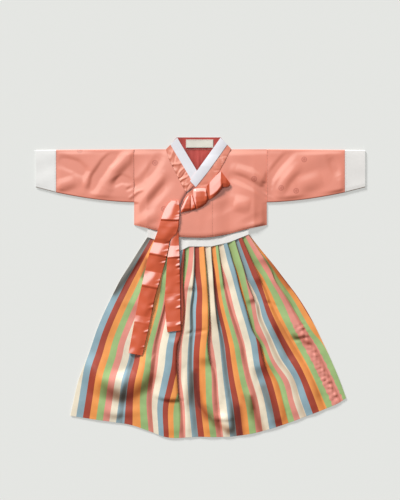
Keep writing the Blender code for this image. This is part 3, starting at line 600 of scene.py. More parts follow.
# %% The skirt's folded edges
WAIST_LINE = (
    (-0.121, 0.1140), (-0.090, 0.1035), (-0.060, 0.0890), (-0.046, 0.0825), (-0.026, 0.0925),
    (0.024, 0.0925), (0.065, 0.1020), (0.110, 0.1200),
)
HEM_LINE = (
    (-0.296, -0.2925), (-0.255, -0.2990), (-0.198, -0.3072), (-0.157, -0.3140),
    (-0.117, -0.3276), (-0.084, -0.3400), (-0.003, -0.3406), (0.067, -0.3402),
    (0.126, -0.3314), (0.186, -0.3140), (0.243, -0.2930), (0.287, -0.2758),
    (0.319, -0.2610), (0.332, -0.2523),
)
FOLD_LINES = (
    ("left_edge", 0.30, (
        (114.1, -121.1, 1, 1), (90.2, -136.3, 1, 1), (50.0, -161.4, 1, 1), (18.1, -181.5, 1, 1),
        (-10.4, -196.5, 1, 1), (-30.4, -206.6, 1, 1), (-58.7, -220.0, 1, 1), (-97.5, -236.2, 1, 1),
        (-136.2, -249.2, 1, 1), (-178.2, -264.9, 0.9, 0.9), (-211.5, -277.5, 0.5, 0.5),
        (-257.1, -288.6, 0.25, 0.25),
        (-292.6, -296.2, 0.15, 0.15),
    )),
    ("tucked_a", 0.70, (
        (103.4, -92.3, 4.7, 8), (80.4, -99.2, 5, 8.2), (39.3, -110.6, 5.4, 8.1), (-6.3, -119.7, 6, 7.3),
        (-51.9, -130.0, 6.7, 6.9), (-97.5, -142.5, 7.1, 7.1), (-143.1, -158.5, 7.1, 7.1),
        (-165.9, -161.9, 7.1, 7.1),
        (-211.5, -174.4, 7.2, 7.2), (-257.1, -184.7, 7, 7), (-314.1, -192.7, 7, 7),
    )),
    ("tucked_b", 0.75, (
        (91.3, -66.1, 10.5, 12.5), (62.1, -66.6, 10.9, 12.1), (27.9, -68.9, 11.3, 11.8),
        (-6.3, -76.4, 11.3, 11.4),
        (-51.9, -86.6, 11.1, 11.1), (-97.5, -99.2, 11, 11), (-143.1, -109.9, 11, 11),
        (-188.7, -117.0, 10.8, 10.8),
        (-257.1, -124.3, 10.9, 10.9), (-330.0, -120.8, 10.8, 10.8),
    )),
    ("split_c", 0.90, (
        (87.0, -36.3, 14.2, 16), (62.1, -37.6, 14.5, 16), (39.3, -39.9, 14.8, 16.2),
        (-6.3, -40.8, 14.9, 16.8),
        (-51.9, -39.2, 14.9, 17.3), (-97.5, -44.0, 14.8, 17.4), (-131.7, -52.7, 14.6, 17.25),
        (-177.3, -55.2, 14.7, 17.1),
        (-211.5, -53.6, 15.4, 17.3), (-238.8, -52.2, 16, 16.9), (-261.6, -51.3, 16.6, 16.6),
        (-341.4, -49.0, 17, 17),
    )),
    ("cream_d", 0.85, (
        (92.5, -14.8, 18.05, 20), (62.1, -14.8, 18.2, 20), (39.3, -15.3, 18.3, 19.9),
        (16.5, -16.6, 18.6, 19.5),
        (-10.8, -19.4, 19, 19), (-51.9, -24.2, 19, 19), (-97.5, -24.9, 19, 19), (-143.1, -28.7, 19, 19),
        (-211.5, -30.1, 19, 19), (-257.1, -27.1, 19, 19), (-341.9, -19.4, 19, 19),
    )),
    ("blue_e", 1.00, (
        (92.5, 7.5, 21.9, 23.7), (39.3, 12.1, 22, 23.85), (-6.3, 15.5, 22, 23.8),
        (-51.9, 18.0, 22.05, 23.7),
        (-97.5, 17.6, 22.05, 23.5), (-124.8, 15.3, 22.15, 23.3), (-147.6, 16.6, 22.4, 23),
        (-177.3, 21.2, 22.75, 22.9),
        (-211.5, 25.5, 23, 23), (-257.1, 26.2, 23, 23), (-341.9, 36.5, 23, 23),
    )),
    ("green_f", 0.95, (
        (92.5, 23.5, 24.9, 27), (66.7, 24.9, 24.9, 26.8), (39.3, 27.1, 24.95, 26.35),
        (-6.3, 30.1, 24.95, 25.9),
        (-51.9, 34.0, 25, 25.5), (-97.5, 39.9, 25, 25.12), (-131.7, 44.0, 25, 25), (-165.9, 47.2, 25, 25),
        (-211.5, 52.0, 25, 25), (-257.1, 57.5, 25, 25), (-341.4, 67.3, 25, 25),
    )),
    ("pink_g", 0.75, (
        (96.1, 39.4, 28.5, 30.1), (66.7, 43.1, 28.6, 29.9), (39.3, 46.7, 28.65, 29.6),
        (12.0, 50.8, 28.85, 29.2),
        (-10.8, 54.3, 29, 29), (-51.9, 63.4, 29, 29), (-97.5, 77.3, 29, 29), (-131.7, 87.3, 29, 29),
        (-165.9, 93.3, 29, 29), (-211.5, 103.1, 29, 29), (-257.1, 116.5, 29, 29), (-330.0, 126.5, 29, 29),
    )),
    ("cream_h", 1.00, (
        (100.4, 60.0, 31.6, 34), (84.9, 65.0, 31.65, 34), (62.1, 71.1, 31.7, 33.9),
        (39.3, 78.4, 31.75, 33.75),
        (-6.3, 89.6, 31.7, 33.5), (-51.9, 103.3, 31.7, 33.6), (-79.2, 111.0, 31.65, 33.9),
        (-102.0, 119.2, 31.8, 34.5),
        (-122.5, 132.5, 32.35, 34.4), (-143.1, 137.5, 32.5, 33.5), (-170.4, 143.9, 32.7, 33.1),
        (-211.5, 162.3, 33, 33),
        (-257.1, 174.9, 33, 33), (-309.5, 187.0, 33, 33),
    )),
    ("green_i", 0.85, (
        (106.4, 77.7, 34.9, 37), (84.9, 83.9, 34.95, 37), (62.1, 91.0, 34.98, 37), (39.3, 98.3, 35, 36.95),
        (16.5, 104.4, 35.1, 36.8), (-6.3, 112.4, 35.4, 36.4), (-33.6, 122.9, 35.95, 36.05),
        (-74.7, 131.1, 36, 36),
        (-120.3, 150.5, 36, 36), (-165.9, 168.9, 36, 36), (-211.5, 200.4, 36, 36), (-257.1, 212.7, 36, 36),
        (-297.0, 226.9, 36, 36),
    )),
    ("rust_j", 0.85, (
        (114.1, 93.3, 38.9, 40), (84.9, 105.8, 38.9, 40), (62.1, 115.8, 38.9, 39.95),
        (39.3, 126.5, 39, 39.75),
        (16.5, 136.3, 39, 39.25), (-6.3, 143.6, 39, 39), (-51.9, 159.8, 39, 39), (-97.5, 181.5, 39, 39),
        (-143.1, 207.0, 39, 39), (-177.3, 226.9, 39, 39), (-211.5, 243.3, 39, 39), (-257.1, 261.5, 39, 39),
        (-280.8, 270.2, 39, 39),
    )),
    ("seam_k", 0.80, (
        (119.4, 108.5, 41.9, 43.4), (84.9, 131.1, 41.95, 43), (62.1, 145.7, 41.95, 42.2),
        (39.3, 158.5, 41.9, 42),
        (16.5, 168.0, 41.7, 41.9), (-6.3, 180.1, 41.5, 41.6), (-29.1, 193.7, 41.5, 41.5),
        (-74.7, 217.5, 41.5, 41.5),
        (-120.3, 242.0, 41.5, 41.5), (-165.9, 266.0, 41.5, 41.5), (-211.5, 288.5, 41.5, 41.5),
        (-262.8, 314.5, 41.5, 41.5),
    )),
    ("right_edge", 0.25, (
        (120.0, 110.4, 44.5, 44.5), (96.6, 128.6, 44.25, 44.25), (71.2, 150.0, 44.15, 44.15),
        (43.9, 172.1, 44.15, 44.15),
        (16.5, 193.1, 44.2, 44.2), (-18.1, 219.6, 44.15, 44.15), (-70.8, 252.2, 44.12, 44.12),
        (-95.0, 264.4, 43.85, 43.85),
        (-120.3, 276.6, 43.2, 43.2), (-154.5, 293.0, 43.0, 43.0), (-211.5, 317.1, 42.85, 42.85),
        (-250.7, 331.7, 42.7, 42.7),
    )),
)

print("folded edges:", len(FOLD_LINES))

# %% [markdown]
# The larger creases are listed one by one, because no two are alike. A hollow that the window's light
# hardly reaches is listed too, as a dark line with its reach.

# %% Creases, hollows and swells
# Each row: name, points in mm, reach to the left and to the right of the way it runs, height in mm
JACKET_CREASES = (
    ("left sleeve, long trough under the shoulder", ((-181, 313), (-215, 281), (-238, 249), (-250, 215)),
     19, 19, -3.2),
    ("left sleeve, ridge beside it", ((-163, 297), (-195, 265), (-215, 222)), 18, 18, 2.4),
    ("left sleeve, short ridge", ((-252, 263), (-261, 226)), 13, 13, 1.3),
    ("left sleeve, low swell by the cuff", ((-325, 229), (-284, 242)), 18, 18, 1.8),
    ("left sleeve, hollow by the top", ((-325, 290), (-284, 276), (-256, 254)), 21, 21, -2.4),
    ("left sleeve, pull to the underarm", ((-154, 238), (-179, 247), (-206, 233)), 13, 13, -1.8),
    ("left front, pull from the underarm", ((-152, 229), (-131, 240), (-111, 265),
    (-92, 295)), 17, 17, -2.2),
    ("left front, ridge under it", ((-145, 181), (-124, 206), (-101, 231), (-83, 254)), 17, 17, 1.9),
    ("left front, hollow towards the bow", ((-122, 183), (-95, 217), (-65, 249)), 19, 19, -1.8),
    ("left front, swell over the hem", ((-138, 149), (-97, 167)), 18, 18, 1.6),
    ("right front, pull from the collar", ((63, 256), (92, 245), (120, 231), (147, 215)), 15, 15, -2.4),
    ("right front, ridge above it", ((81, 272), (113, 260), (140, 242)), 15, 15, 2),
    ("right front, hollow below the bow", ((13, 169), (44, 178), (70, 192)), 18, 18, -2.2),
    ("right front, swell in the middle", ((76, 192), (113, 185)), 23, 23, 2.4),
    ("right front, hollow down the gusset", ((10, 165), (8, 126)), 14, 14, -1.2),
    ("right front, hollow over the hem", ((97, 140), (140, 162)), 16, 16, -1.2),
    ("right sleeve, pull to the underarm", ((145, 217), (158, 249), (179, 276), (204, 304)), 17, 17, -2.4),
    ("right sleeve, ridge beside it", ((177, 213), (195, 245), (218, 272)), 17, 17, 2),
    ("right sleeve, long swell", ((222, 231), (277, 249)), 25, 25, 2),
    ("right sleeve, hollow by the cuff", ((295, 295), (314, 254)), 14, 14, -1.3),
    ("left underarm, small pucker", ((-163, 201), (-145, 217), (-131, 222)), 5, 5, 1.5),
    ("left underarm, pucker above it", ((-168, 222), (-147, 231)), 5, 5, -1.4),
    ("right underarm, small pucker", ((131, 226), (145, 215), (163, 201)), 5, 5, 1.5),
    ("right underarm, pucker above it", ((142, 238), (161, 226)), 5, 5, -1.4),
)
SKIRT_CREASES = (
    ("slump low on the left", ((-266, -166), (-241, -189), (-222, -209), (-204, -218), (-181, -223),
    (-161, -214), (-142, -205), (-124, -180)),
     32, 43, 9.5),
    ("swell below that slump", ((-238, -262), (-197, -289), (-133, -280)), 16, 16, 1.6),
    ("left edge turned up at the hip", ((-124, 92), (-152, 53), (-179, 14), (-202, -22)), 11, 15, 4.5),
    ("left face, hollow beside tie", ((-124, 58), (-142, 12), (-165, -43)), 14, 14, -1.8),
    ("left face, long swell", ((-188, -29), (-220, -111)), 21, 21, 1.6),
    ("trough in the middle of the hem", ((-8, -193), (-8, -239), (6, -271), (31, -300)), 10, 10, -5.5),
    ("swell left of it", ((-33, -193), (-33, -268)), 18, 11, 3),
    ("swell right of it", ((24, -193), (42, -266)), 16, 18, 3),
    ("step across the hem", ((26, -300), (65, -300)), 16, 6, 2.2),
    ("drop by that step", ((65, -253), (70, -335)), 14, 23, 4.2),
    ("swell beyond it", ((111, -239), (115, -289)), 14, 14, 2.2),
    ("trough under the right half", ((124, -180), (149, -239), (172, -289)), 14, 16, -3.2),
    ("swell right of that", ((172, -211), (199, -280)), 14, 16, 2.4),
    ("trough in the upper right", ((170, -79), (188, -120), (204, -161)), 11, 11, -2.6),
    ("dimple across the right side", ((211, -120), (245, -116)), 7, 7, -2.2),
    ("short crease by the right hip", ((149, -34), (174, -43)), 6, 6, -1.6),
    ("crease across the middle", ((-33, -107), (13, -97)), 6, 6, -1.6),
    ("swell low on the right", ((241, -180), (272, -248)), 18, 14, 2.6),
    ("right hip falls away", ((140, 71), (177, 12), (209, -43)), 9, 21, 2.6),
    ("long swell right of the ties", ((-33, 17), (-28, -79)), 11, 11, 1.5),
    ("swell on the wide face", ((49, -6), (70, -97), (90, -180)), 18, 18, 2),
)
# Hollows that the window's light hardly reaches: name, line in mm, reach in mm, how dark
SKIRT_HOLLOWS = (
    ("left edge under the band", ((-119.7, 110), (-153.9, 57.6), (-181.3, 14.2),
    (-197.2, -10.8)), 6.5, 0.42),
    ("beside the long tie", ((-122, 62.1), (-131.1, 25.6)), 5, 0.35),
    ("right hip", ((153.9, 57.6), (176.7, 34.8), (199.5, 2.8)), 9, 0.3),
    ("J trough", ((-12.5, -200), (-8, -240), (-3.4, -266.2), (14.8, -291.3), (33.1, -302.7)), 9, 0.38),
    ("under the J", ((35.3, -311.8), (65, -325.5)), 8, 0.28),
    ("rust stripe at the hem", ((85.5, -275.3), (90.1, -334.6)), 9, 0.38),
    ("green slit", ((115.1, -250.2), (119.7, -275.3)), 4, 0.35),
    ("long hollow", ((101.5, -250.2), (140.2, -325.5)), 9, 0.22),
    ("next hollow", ((144.8, -229.7), (179, -311.8)), 10, 0.22),
    ("under the right fold", ((172.1, -92.9), (201.8, -152.2)), 9, 0.22),
    ("dimple", ((213.2, -111.1), (245.1, -127.1)), 6, 0.32),
    ("bottom of the slump", ((-220, -220.6), (-190.4, -247.9), (-160.7, -254.8), (-128.8, -225.1),
    (-108.3, -202.3)), 10, 0.22),
)

print("creases:", len(JACKET_CREASES) + len(SKIRT_CREASES), "hollows:", len(SKIRT_HOLLOWS))

# %% [markdown]
# The fold's section changes down the skirt. Near the waist the layers lie tight on each other,
# and lower down the face is a rounded wave. DEPTHS gives the height of a folded edge, the width
# of its drop once it is open, and how round the face is, against the share of the way down.

# %% Where the ties lie
# Each row: place in metres, width, height of the underside
LONG_TAIL = (
    (-0.0600, 0.1765, 0.030, 0.0114), (-0.0740, 0.1640, 0.031, 0.0115),
    (-0.0812, 0.1480, 0.030, 0.0117), (-0.0868, 0.1190, 0.029, 0.0114),
    (-0.0956, 0.0850, 0.031, 0.0090), (-0.1053, 0.0530, 0.032, 0.0068),
    (-0.1156, 0.0100, 0.033, 0.0067), (-0.1243, -0.0290, 0.033, 0.0068),
    (-0.1345, -0.0750, 0.033, 0.0068), (-0.1425, -0.1155, 0.032, 0.0069),
    (-0.1489, -0.1530, 0.031, 0.0069),
)
SHORT_TAIL = (
    (-0.0600, 0.1720, 0.027, 0.0098), (-0.0618, 0.1580, 0.028, 0.0099),
    (-0.0616, 0.1350, 0.029, 0.0102), (-0.0609, 0.1077, 0.029, 0.0092),
    (-0.0627, 0.0735, 0.030, 0.0068), (-0.0641, 0.0280, 0.033, 0.0070),
    (-0.0641, -0.0290, 0.035, 0.0072), (-0.0606, -0.0970, 0.031, 0.0073),
)

# %% Weave the skirt's front
SKIRT_Z = 0.0017
SKIRT_WALL = 0.0006
DEPTHS = (  # down, edge height, open drop, roundness
    (0.00, 0.0034, 0.0030, 0.00), (0.12, 0.0062, 0.0050, 0.05), (0.35, 0.0085, 0.0080, 0.25),
    (0.65, 0.0085, 0.0120, 0.50), (1.00, 0.0070, 0.0150, 0.70),
)
FACE_STEPS, SKIRT_ROWS = 11, 128
# Places in a tight fold: share of the hidden depth to the left, and height against the edge
TUCK = (
    (0.0, 1.0), (-0.06, 0.84), (0.0, 0.66), (0.5, 0.52), (1.0, 0.36), (0.5, 0.20), (0.0, 0.08), (-0.05, 0.0),
)
DEEPEST_TUCK = 0.0085


def depth_at(column, down):
    """A column of DEPTHS that share of the way down."""
    return on_line([(row[0], row[column]) for row in DEPTHS], down)


def fold_line(name, lift, rows, down):
    """A folded edge's place, stripe counts and size at each share of the way down."""
    table = [(y * MM, x * MM, before, after) for y, x, before, after in rows]
    ys = table[0][0] + (table[-1][0] - table[0][0]) * down
    x, before, after = (on_curve([(row[0], row[k]) for row in table], ys) for k in (1, 2, 3))
    hidden = np.maximum(after - before, 0)
    return {"x": x, "before": before, "after": after, "lift": lift, "hidden": hidden * STRIPE / 2}


def skirt_grid():
    """Points of the skirt's front and the stripe count at each of them."""
    down = np.linspace(0, 1, SKIRT_ROWS)
    lines = [fold_line(name, lift, rows, down) for name, lift, rows in FOLD_LINES]
    edge, drop, roundness = (depth_at(k, down) for k in (1, 2, 3))
    xs, zs, stripes, shades = [], [], [], []
    for number, (line, after) in enumerate(zip(lines, lines[1:])):
        width = after["x"] - line["x"]
        first, last = number == 0, number == len(lines) - 2
        tight_left = smooth(line["hidden"], 0.0, 0.003)
        gap = np.minimum(drop * (1 - tight_left) + 0.0008 * tight_left, 0.4 * width)
        start = np.zeros_like(width) if first else gap / width
        closed = smooth(after["hidden"], 0.0, 0.003)
        height = edge * after["lift"] * (0.40 + 0.60 * closed)
        for share in np.linspace(0, 1, FACE_STEPS + 1):
            place = start + (1 - start) * share
            rise = share**0.85 * (1 - 0.45 * roundness) + roundness * 0.8 * math.sin(math.pi * share)
            if last:
                rise = np.full_like(down, math.sin(math.pi * min(share * 1.02, 1.0)) ** 0.8)
            xs.append(line["x"] + width * place)
            zs.append(height * rise)
            stripes.append(line["after"] + (after["before"] - line["after"]) * place)
            # Painted shadow on the start of each face, beside the folded edge to its left, darker where that
            # fold is tight
            shades.append(1 - (0.04 + 0.32 * tight_left) * (not first) * np.exp(-width * share / 0.0075))
        if last:
            break
        crest = height * (1 - 0.45 * roundness)
        tight = smooth(after["hidden"], 0.0, 0.003)
        reach = np.minimum(np.minimum(after["hidden"], 0.45 * width), DEEPEST_TUCK)
        beyond = lines[number + 2]["x"] - after["x"]
        gap = np.minimum(drop * (1 - tight) + 0.0008 * tight, 0.4 * beyond)
        open_share = gap / beyond
        for step, (left, level) in enumerate(TUCK[1:-1], 1):
            share = step / (len(TUCK) - 1)
            side = -np.where(left < 0, left * 0.010, left * reach)
            folded_x = after["x"] + side
            open_x = after["x"] + gap * share
            open_z = crest * (1 - smooth(share))
            xs.append(folded_x * tight + open_x * (1 - tight))
            zs.append(crest * level * tight + open_z * (1 - tight))
            through = after["before"] + (after["after"] - after["before"]) * share
            onward = after["after"] + (lines[number + 2]["before"] - after["after"]) * open_share * share
            stripes.append(through * tight + onward * (1 - tight))
            # Painted shade inside the tuck, darker step by step across it
            shades.append(1 - 0.30 * share * np.ones_like(down))
    x, z, stripe, shade = (np.array(part).T for part in (xs, zs, stripes, shades))
    waist = on_line(WAIST_LINE, x[0])
    hem = on_curve(HEM_LINE, x[-1])
    y = waist[None, :] + (hem - waist)[None, :] * down[:, None]
    return x, y, z, stripe, shade, down


# %% [markdown]
# The grid so far is an evenly pleated skirt. The creases, the pulled side seam and the weight of
# the ties on top make it this one.

# %% Crease the skirt's front
x, y, z, stripe, shade, down = skirt_grid()
settle = smooth(down, 0.0, 0.12)[:, None]
z = z + settle * crease_height(x, y, SKIRT_CREASES) + settle * 0.0008 * ripple(x, y, 0.040, 3)
# The side seam is pulled tight, so the cloth stands in short waves on both sides of it
SIDE_SEAM = ((217.5, -74.7), (242.0, -120.3), (266.0, -165.9), (288.5, -211.5), (312.0, -258.0))
from_seam, along, _ = near_line(x / MM, y / MM, SIDE_SEAM)
waves = np.sin(2 * math.pi * along * 17 + 2.4 * np.sin(9 * along))
waves = waves * (0.5 + 0.5 * np.sin(2 * math.pi * along * 3.3))
lumps = 0.6 * waves + ripple(x, y, 0.0058, 61)
z = z + 0.0011 * lumps * np.exp(-((from_seam / 11) ** 2)) * smooth(along, 0.0, 0.06)
# Its pink stripe is pulled wide there, and the stripe's edges wander
beside = stripe - 41.5
wide = smooth(-y, 0.030, 0.100)
stripe = 41.5 + beside * (1 - 0.40 * wide * (1 - smooth(np.abs(beside), 0.5, 1.6)))
stripe = stripe + 0.13 * wide * lumps * np.exp(-((from_seam / 16) ** 2))
z = z * (1 - 0.6 * smooth(down, 0.95, 1.0))[:, None]
# The ties press the cloth down where they cross it
from_ties = np.minimum(*(near_line(x, y, [p[:2] for p in ties])[0] for ties in (LONG_TAIL, SHORT_TAIL)))
ceiling = 0.0042 + 0.0095 * smooth(from_ties, 0.016, 0.045)
over = np.maximum(z - 0.7 * ceiling, 0)
z = z - over + 0.3 * ceiling * (1 - np.exp(-over / (0.3 * ceiling)))
z = SKIRT_Z + np.maximum(z, 0)
points = np.stack([x, y, z], axis=2)
length = (on_line(WAIST_LINE, 0.0) - on_curve(HEM_LINE, 0.0)) * down
uv = np.stack([stripe, np.repeat(-length[:, None], x.shape[1], axis=1)], axis=2)
# Painted shade along each of the hollows
for _, line, reach, strength in SKIRT_HOLLOWS:
    line = [(px * MM, py * MM) for px, py in line]
    shade = shade * painted_gap_shadow(x, y, line, 1.15 * reach, min(1.7 * strength, 0.7))
skirt_front = add_cloth("skirt_front_satin", points, uv, SKIRT_WALL, striped_satin, shade=shade)
declare(skirt_front, "skirt_front", (0.636, 0.450))
print("skirt front:", points.shape[:2], "rows and points in each, area", round(plan_area(points), 3))

# %% [markdown]
# ## The skirt's back, waistband and straps
# The back of the skirt lies flat on the table, pressed by the front, so it is one smooth sheet
# to the same outline. The waistband and the straps are white cotton, mostly under the jacket.

# %% The skirt's back
BACK_WALL = 0.0010
down = np.linspace(0, 1, 60)
left, right = (fold_line(*FOLD_LINES[k], down) for k in (0, -1))
across = np.linspace(0, 1, 90)
x = left["x"][:, None] * (1 - across) + right["x"][:, None] * across
waist, hem = on_line(WAIST_LINE, x[0]), on_curve(HEM_LINE, x[-1])
y = waist + (hem - waist) * down[:, None]
points = np.stack([x, y, np.zeros_like(x)], axis=2)
uv = np.stack([np.repeat(across[None, :] * 43, 60, axis=0), y], axis=2)
skirt_back = add_cloth("skirt_back_satin", points, uv, BACK_WALL, striped_satin)
declare(skirt_back, "skirt_back", (0.636, 0.460), area=0.20)

# %% The waistband and the straps
WAISTBAND_HEIGHT, SEAM = 0.060, 0.0003
# The jacket's hem, which covers the upper part of the band
JACKET_HEM = (
    (-0.151, 0.1420), (-0.100, 0.1295), (-0.050, 0.1158), (-0.015, 0.1135),
    (0.020, 0.1142), (0.060, 0.1208), (0.105, 0.1325), (0.151, 0.1420),
)
x = np.linspace(-0.1205, 0.1095, 120)
seam = on_line(WAIST_LINE, x)
for name, lift, low in (("waistband_front", 0.0004, 0.0040), ("waistband_back", 0.0002, 0.0)):
    up = np.linspace(1, 0, 16)[:, None]
    y = seam + lift + WAISTBAND_HEIGHT * up
    top = 0.0017 if name == "waistband_front" else 0.0
    z = low + (top - low) * up + 0 * x
    if name == "waistband_front":
        z = z + 0.0005 * ripple(x[None, :] * 3, y * 0.6, 0.03, 5) * np.sin(math.pi * up)
        z = z + 0.0008 * (1 - smooth(y - on_curve(JACKET_HEM, x), -0.001, 0.003))
    points = np.stack([np.repeat(x[None, :], 16, axis=0), y, z], axis=2)
    # The band's white is made a little darker all over
    band = add_cloth(f"{name}_cotton", points, flat_uv(points), 0.0008, white_cotton, shade=0.965)
    declare(band, name, (0.232, 0.062), area=0.0139)

for side, sign in (("left", -1), ("right", 1)):
    x = sign * 0.056 + np.linspace(-0.015, 0.015, 8)
    foot = float(on_line(WAIST_LINE, x).max()) + WAISTBAND_HEIGHT + 2 * SEAM
    y = np.linspace(0.262, foot, 24)
    points = np.stack([*np.meshgrid(x, y), np.zeros((24, 8))], axis=2)
    strap = add_cloth(f"strap_{side}_cotton", points, flat_uv(points), 0.0014, white_cotton)
    declare(strap, f"strap_{side}", (0.030, 0.11), area=plan_area(points))
print("straps in mm:", round((x[-1] - x[0]) / MM), "wide, on a band", round(WAISTBAND_HEIGHT / MM), "high")

# %% [markdown]
# ## The jacket's panels
# The jacket lies over the skirt's band, so its underside rises from the table at the sides to
# the band in the middle. The fronts hold a little air and carry soft pulls from the underarms
# towards the bow. The panels stop at the collar's seam, as the real ones do.

# %% How high the jacket lies
TOP_Y = 0.3415
SHOULDER_Y = TOP_Y - 0.027
BODY_HALF = 0.151
UNDERARM_Y = SHOULDER_Y - 0.121
LAYER, PUFF = 0.0015, 0.0013
JACKET_WALL = 0.0008
GUSSET_X, OVERLAP_X, WRAP_X = 0.026, 0.033, -0.049
DRAPE_RAMP = ((0.113, 0.0046), (0.182, 0.0036), (0.262, 0.0018), (0.312, 0.0))
CLIMB = ((0.214, 0.0012), (0.226, 0.0024), (0.276, 0.0024), (0.302, 0.0))
BAND_GAP = 0.0011
INNER_COLLAR_SEAM = (
    (-0.0787, 0.3145), (-0.0732, 0.2945), (-0.0632, 0.2735), (-0.0540, 0.2548),
    (-0.0430, 0.2335), (-0.0300, 0.2100), (0.0000, 0.1840), (0.0330, 0.1700),
)
OUTER_COLLAR_SEAM = (
    (0.0705, 0.3145), (0.0555, 0.2860), (0.0404, 0.2573), (0.0260, 0.2300),
    (0.0125, 0.2046), (-0.0080, 0.1807), (-0.0290, 0.1675), (-0.0490, 0.1620),
)
INNER_COLLAR_EDGE = (
    (-0.0529, 0.3409), (-0.0450, 0.3270), (-0.0325, 0.3060), (-0.0190, 0.2835),
    (-0.0080, 0.2650), (-0.0020, 0.2540),
)
OUTER_COLLAR_EDGE = (
    (0.0460, 0.3409), (0.0190, 0.3027), (-0.0080, 0.2650), (-0.0240, 0.2420),
    (-0.0122, 0.2262), (-0.0300, 0.2140), (-0.0400, 0.1970), (-0.0502, 0.1696),
)


def drape(x, y):
    """Height of the jacket's underside over the table and the waistband."""
    return np.clip((BODY_HALF - np.abs(x)) / 0.029, 0, 1) * on_line(DRAPE_RAMP, y)


def front_height(x, y):
    """Height of the underside of the fronts, with their air and creases."""
    hem = on_curve(JACKET_HEM, x)
    side = BODY_HALF - np.abs(x) + 0.02 * smooth(y, UNDERARM_Y - 0.004, UNDERARM_Y + 0.004)
    from_edge = np.minimum(side, SHOULDER_Y - y)
    edge = smooth(from_edge, 0.0, 0.014) * smooth(y - hem, -0.005, 0.010)
    calm = 0.25 + 0.75 * np.clip((np.abs(x + 0.006) - 0.050) / 0.030, 0, 1)
    folds = crease_height(x, y, JACKET_CREASES) + 0.0007 * ripple(x, y, 0.045, 11)
    sink = 0.0003 * (1 - smooth(y - hem, 0.0005, 0.0035))
    swells = 0.0005 * smooth(x, 0.02, 0.06) * ripple(x, y, 0.038, 29)
    return drape(x, y) + LAYER - sink + np.maximum(edge * (PUFF + calm * 0.8 * folds + swells), 0.0)


def lap_height(x):
    """How much higher the top front lies because the other front is under it."""
    return 0.0013 * np.clip((0.066 - x) / 0.030, 0, 1)


def panel(low, high, top, height, rows=70, pitch=0.0026):
    """A grid between a top edge and the hem, on upright columns."""
    x = np.linspace(low, high, max(8, round((high - low) / pitch)))
    share = np.linspace(0, 1, rows)[:, None]
    y = top(x) + (on_curve(JACKET_HEM, x) - top(x)) * share
    x = np.repeat(x[None, :], rows, axis=0)
    return np.stack([x, y, height(x, y)], axis=2)


print("jacket in mm:", round(2 * BODY_HALF / MM), "wide,", round((TOP_Y - JACKET_HEM[3][1]) / MM), "high")

# %% The jacket's back, fronts and gusset
points = panel(-BODY_HALF, BODY_HALF, lambda x: SHOULDER_Y - 0.0005 + 0 * x, drape, 30, 0.006)
back = add_cloth("jacket_back_satin", points, flat_uv(points), 0.0010, salmon_satin)
declare(
    back, "jacket_back", (0.302, 0.200),
    area=plan_area(points),
)

# The free edge of the outer front, and the fold line a finger's width inside it
FREE_EDGE = ((-0.0122, 0.2284), (-0.0312, 0.2151), (-0.0413, 0.1977), (-0.0515, 0.1698))
INNER_LINE = ((-0.0385, 0.1955), (-0.0420, 0.1850), (-0.0455, 0.1730), (-0.0463, 0.1640))
for name, low, high, seam, lapped in (
    ("jacket_front_inner", -BODY_HALF, OVERLAP_X, INNER_COLLAR_SEAM, False),
    ("jacket_gusset", WRAP_X, GUSSET_X - 0.00002, OUTER_COLLAR_SEAM, True),
    ("jacket_front_outer", GUSSET_X + 0.00002, BODY_HALF, OUTER_COLLAR_SEAM, True),
):
    points = panel(
        low, high, lambda x: on_line(seam, x) - SEAM,
        lambda x, y: front_height(x, y) + (lap_height(x) if lapped else 0.0),
    )
    # Painted shadow: the inner front is darkened in a line along the outer front's free edge
    shade = 1.0 if lapped else painted_gap_shadow(points[:, :, 0], points[:, :, 1], FREE_EDGE, 4.2, 1.0)
    front = add_cloth(f"{name}_satin", points, flat_uv(points), JACKET_WALL, salmon_satin, shade=shade)
    tall = 0.200 if name != "jacket_gusset" else 0.115
    declare(
        front, name, (high - low + 0.001, tall),
        area=plan_area(points),
    )

# %% [markdown]
# ## Sleeves and cuffs
# A hanbok sleeve is one piece folded along its top, with a curved seam underneath, so it is a
# flattened tube. Its rings follow the same curve as the CAD model. White cuffs close the ends.

# %% The sleeves and the cuffs
SPAN_HALF, CUFF_WIDTH = 0.375, 0.046
SLEEVE_END = SPAN_HALF - CUFF_WIDTH
SLEEVE_HEIGHT = 0.0036


def sleeve_foot(x):
    """The sleeve's lower edge, which curves up to the cuff."""
    return UNDERARM_Y + 0.0225 * np.clip((x - BODY_HALF) / (SLEEVE_END - BODY_HALF), 0, 2) ** 1.7


def sleeve_head(x):
    """The fold along the sleeve's top."""
    return SHOULDER_Y - 0.002 * (x - BODY_HALF) / (SPAN_HALF - BODY_HALF)


def cuff_foot(x):
    """The cuff's lower edge."""
    return sleeve_foot(SLEEVE_END) + 0.0118 * (x - SLEEVE_END) / CUFF_WIDTH


def flat_tube(places, sign, foot, folds, over=44, turn=6, under=16):
    """Rings of a flattened tube: over the top, round the underarm fold and back underneath."""
    rings = []
    middle = SLEEVE_HEIGHT / 2
    for x in places:
        head_y, foot_y = float(sleeve_head(x)), float(foot(x))
        share = np.linspace(0, 1, over)
        y = head_y - middle + (foot_y - head_y + 2 * middle) * share
        crest = folds(np.full(over, sign * x), y) * smooth(share, 0, 0.10) * smooth(1 - share, 0, 0.10)
        top = np.stack([np.full(over, x), y, SLEEVE_HEIGHT + crest], axis=1)
        angle = np.linspace(0, math.pi, turn + 2)[1:-1]
        round_y, round_z = middle * np.sin(angle), middle * np.cos(angle)
        low = np.stack([np.full(turn, x), foot_y + middle - round_y, middle + round_z], axis=1)
        y = np.linspace(foot_y + middle, head_y - middle, under)
        beneath = np.stack([np.full(under, x), y, np.zeros(under)], axis=1)
        high = np.stack([np.full(turn, x), head_y - middle + round_y, middle - round_z], axis=1)
        rings.append(np.concatenate([top, low, beneath, high]))
    rings = np.array(rings)
    rings[:, :, 0] *= sign
    return rings if sign < 0 else rings[:, ::-1]


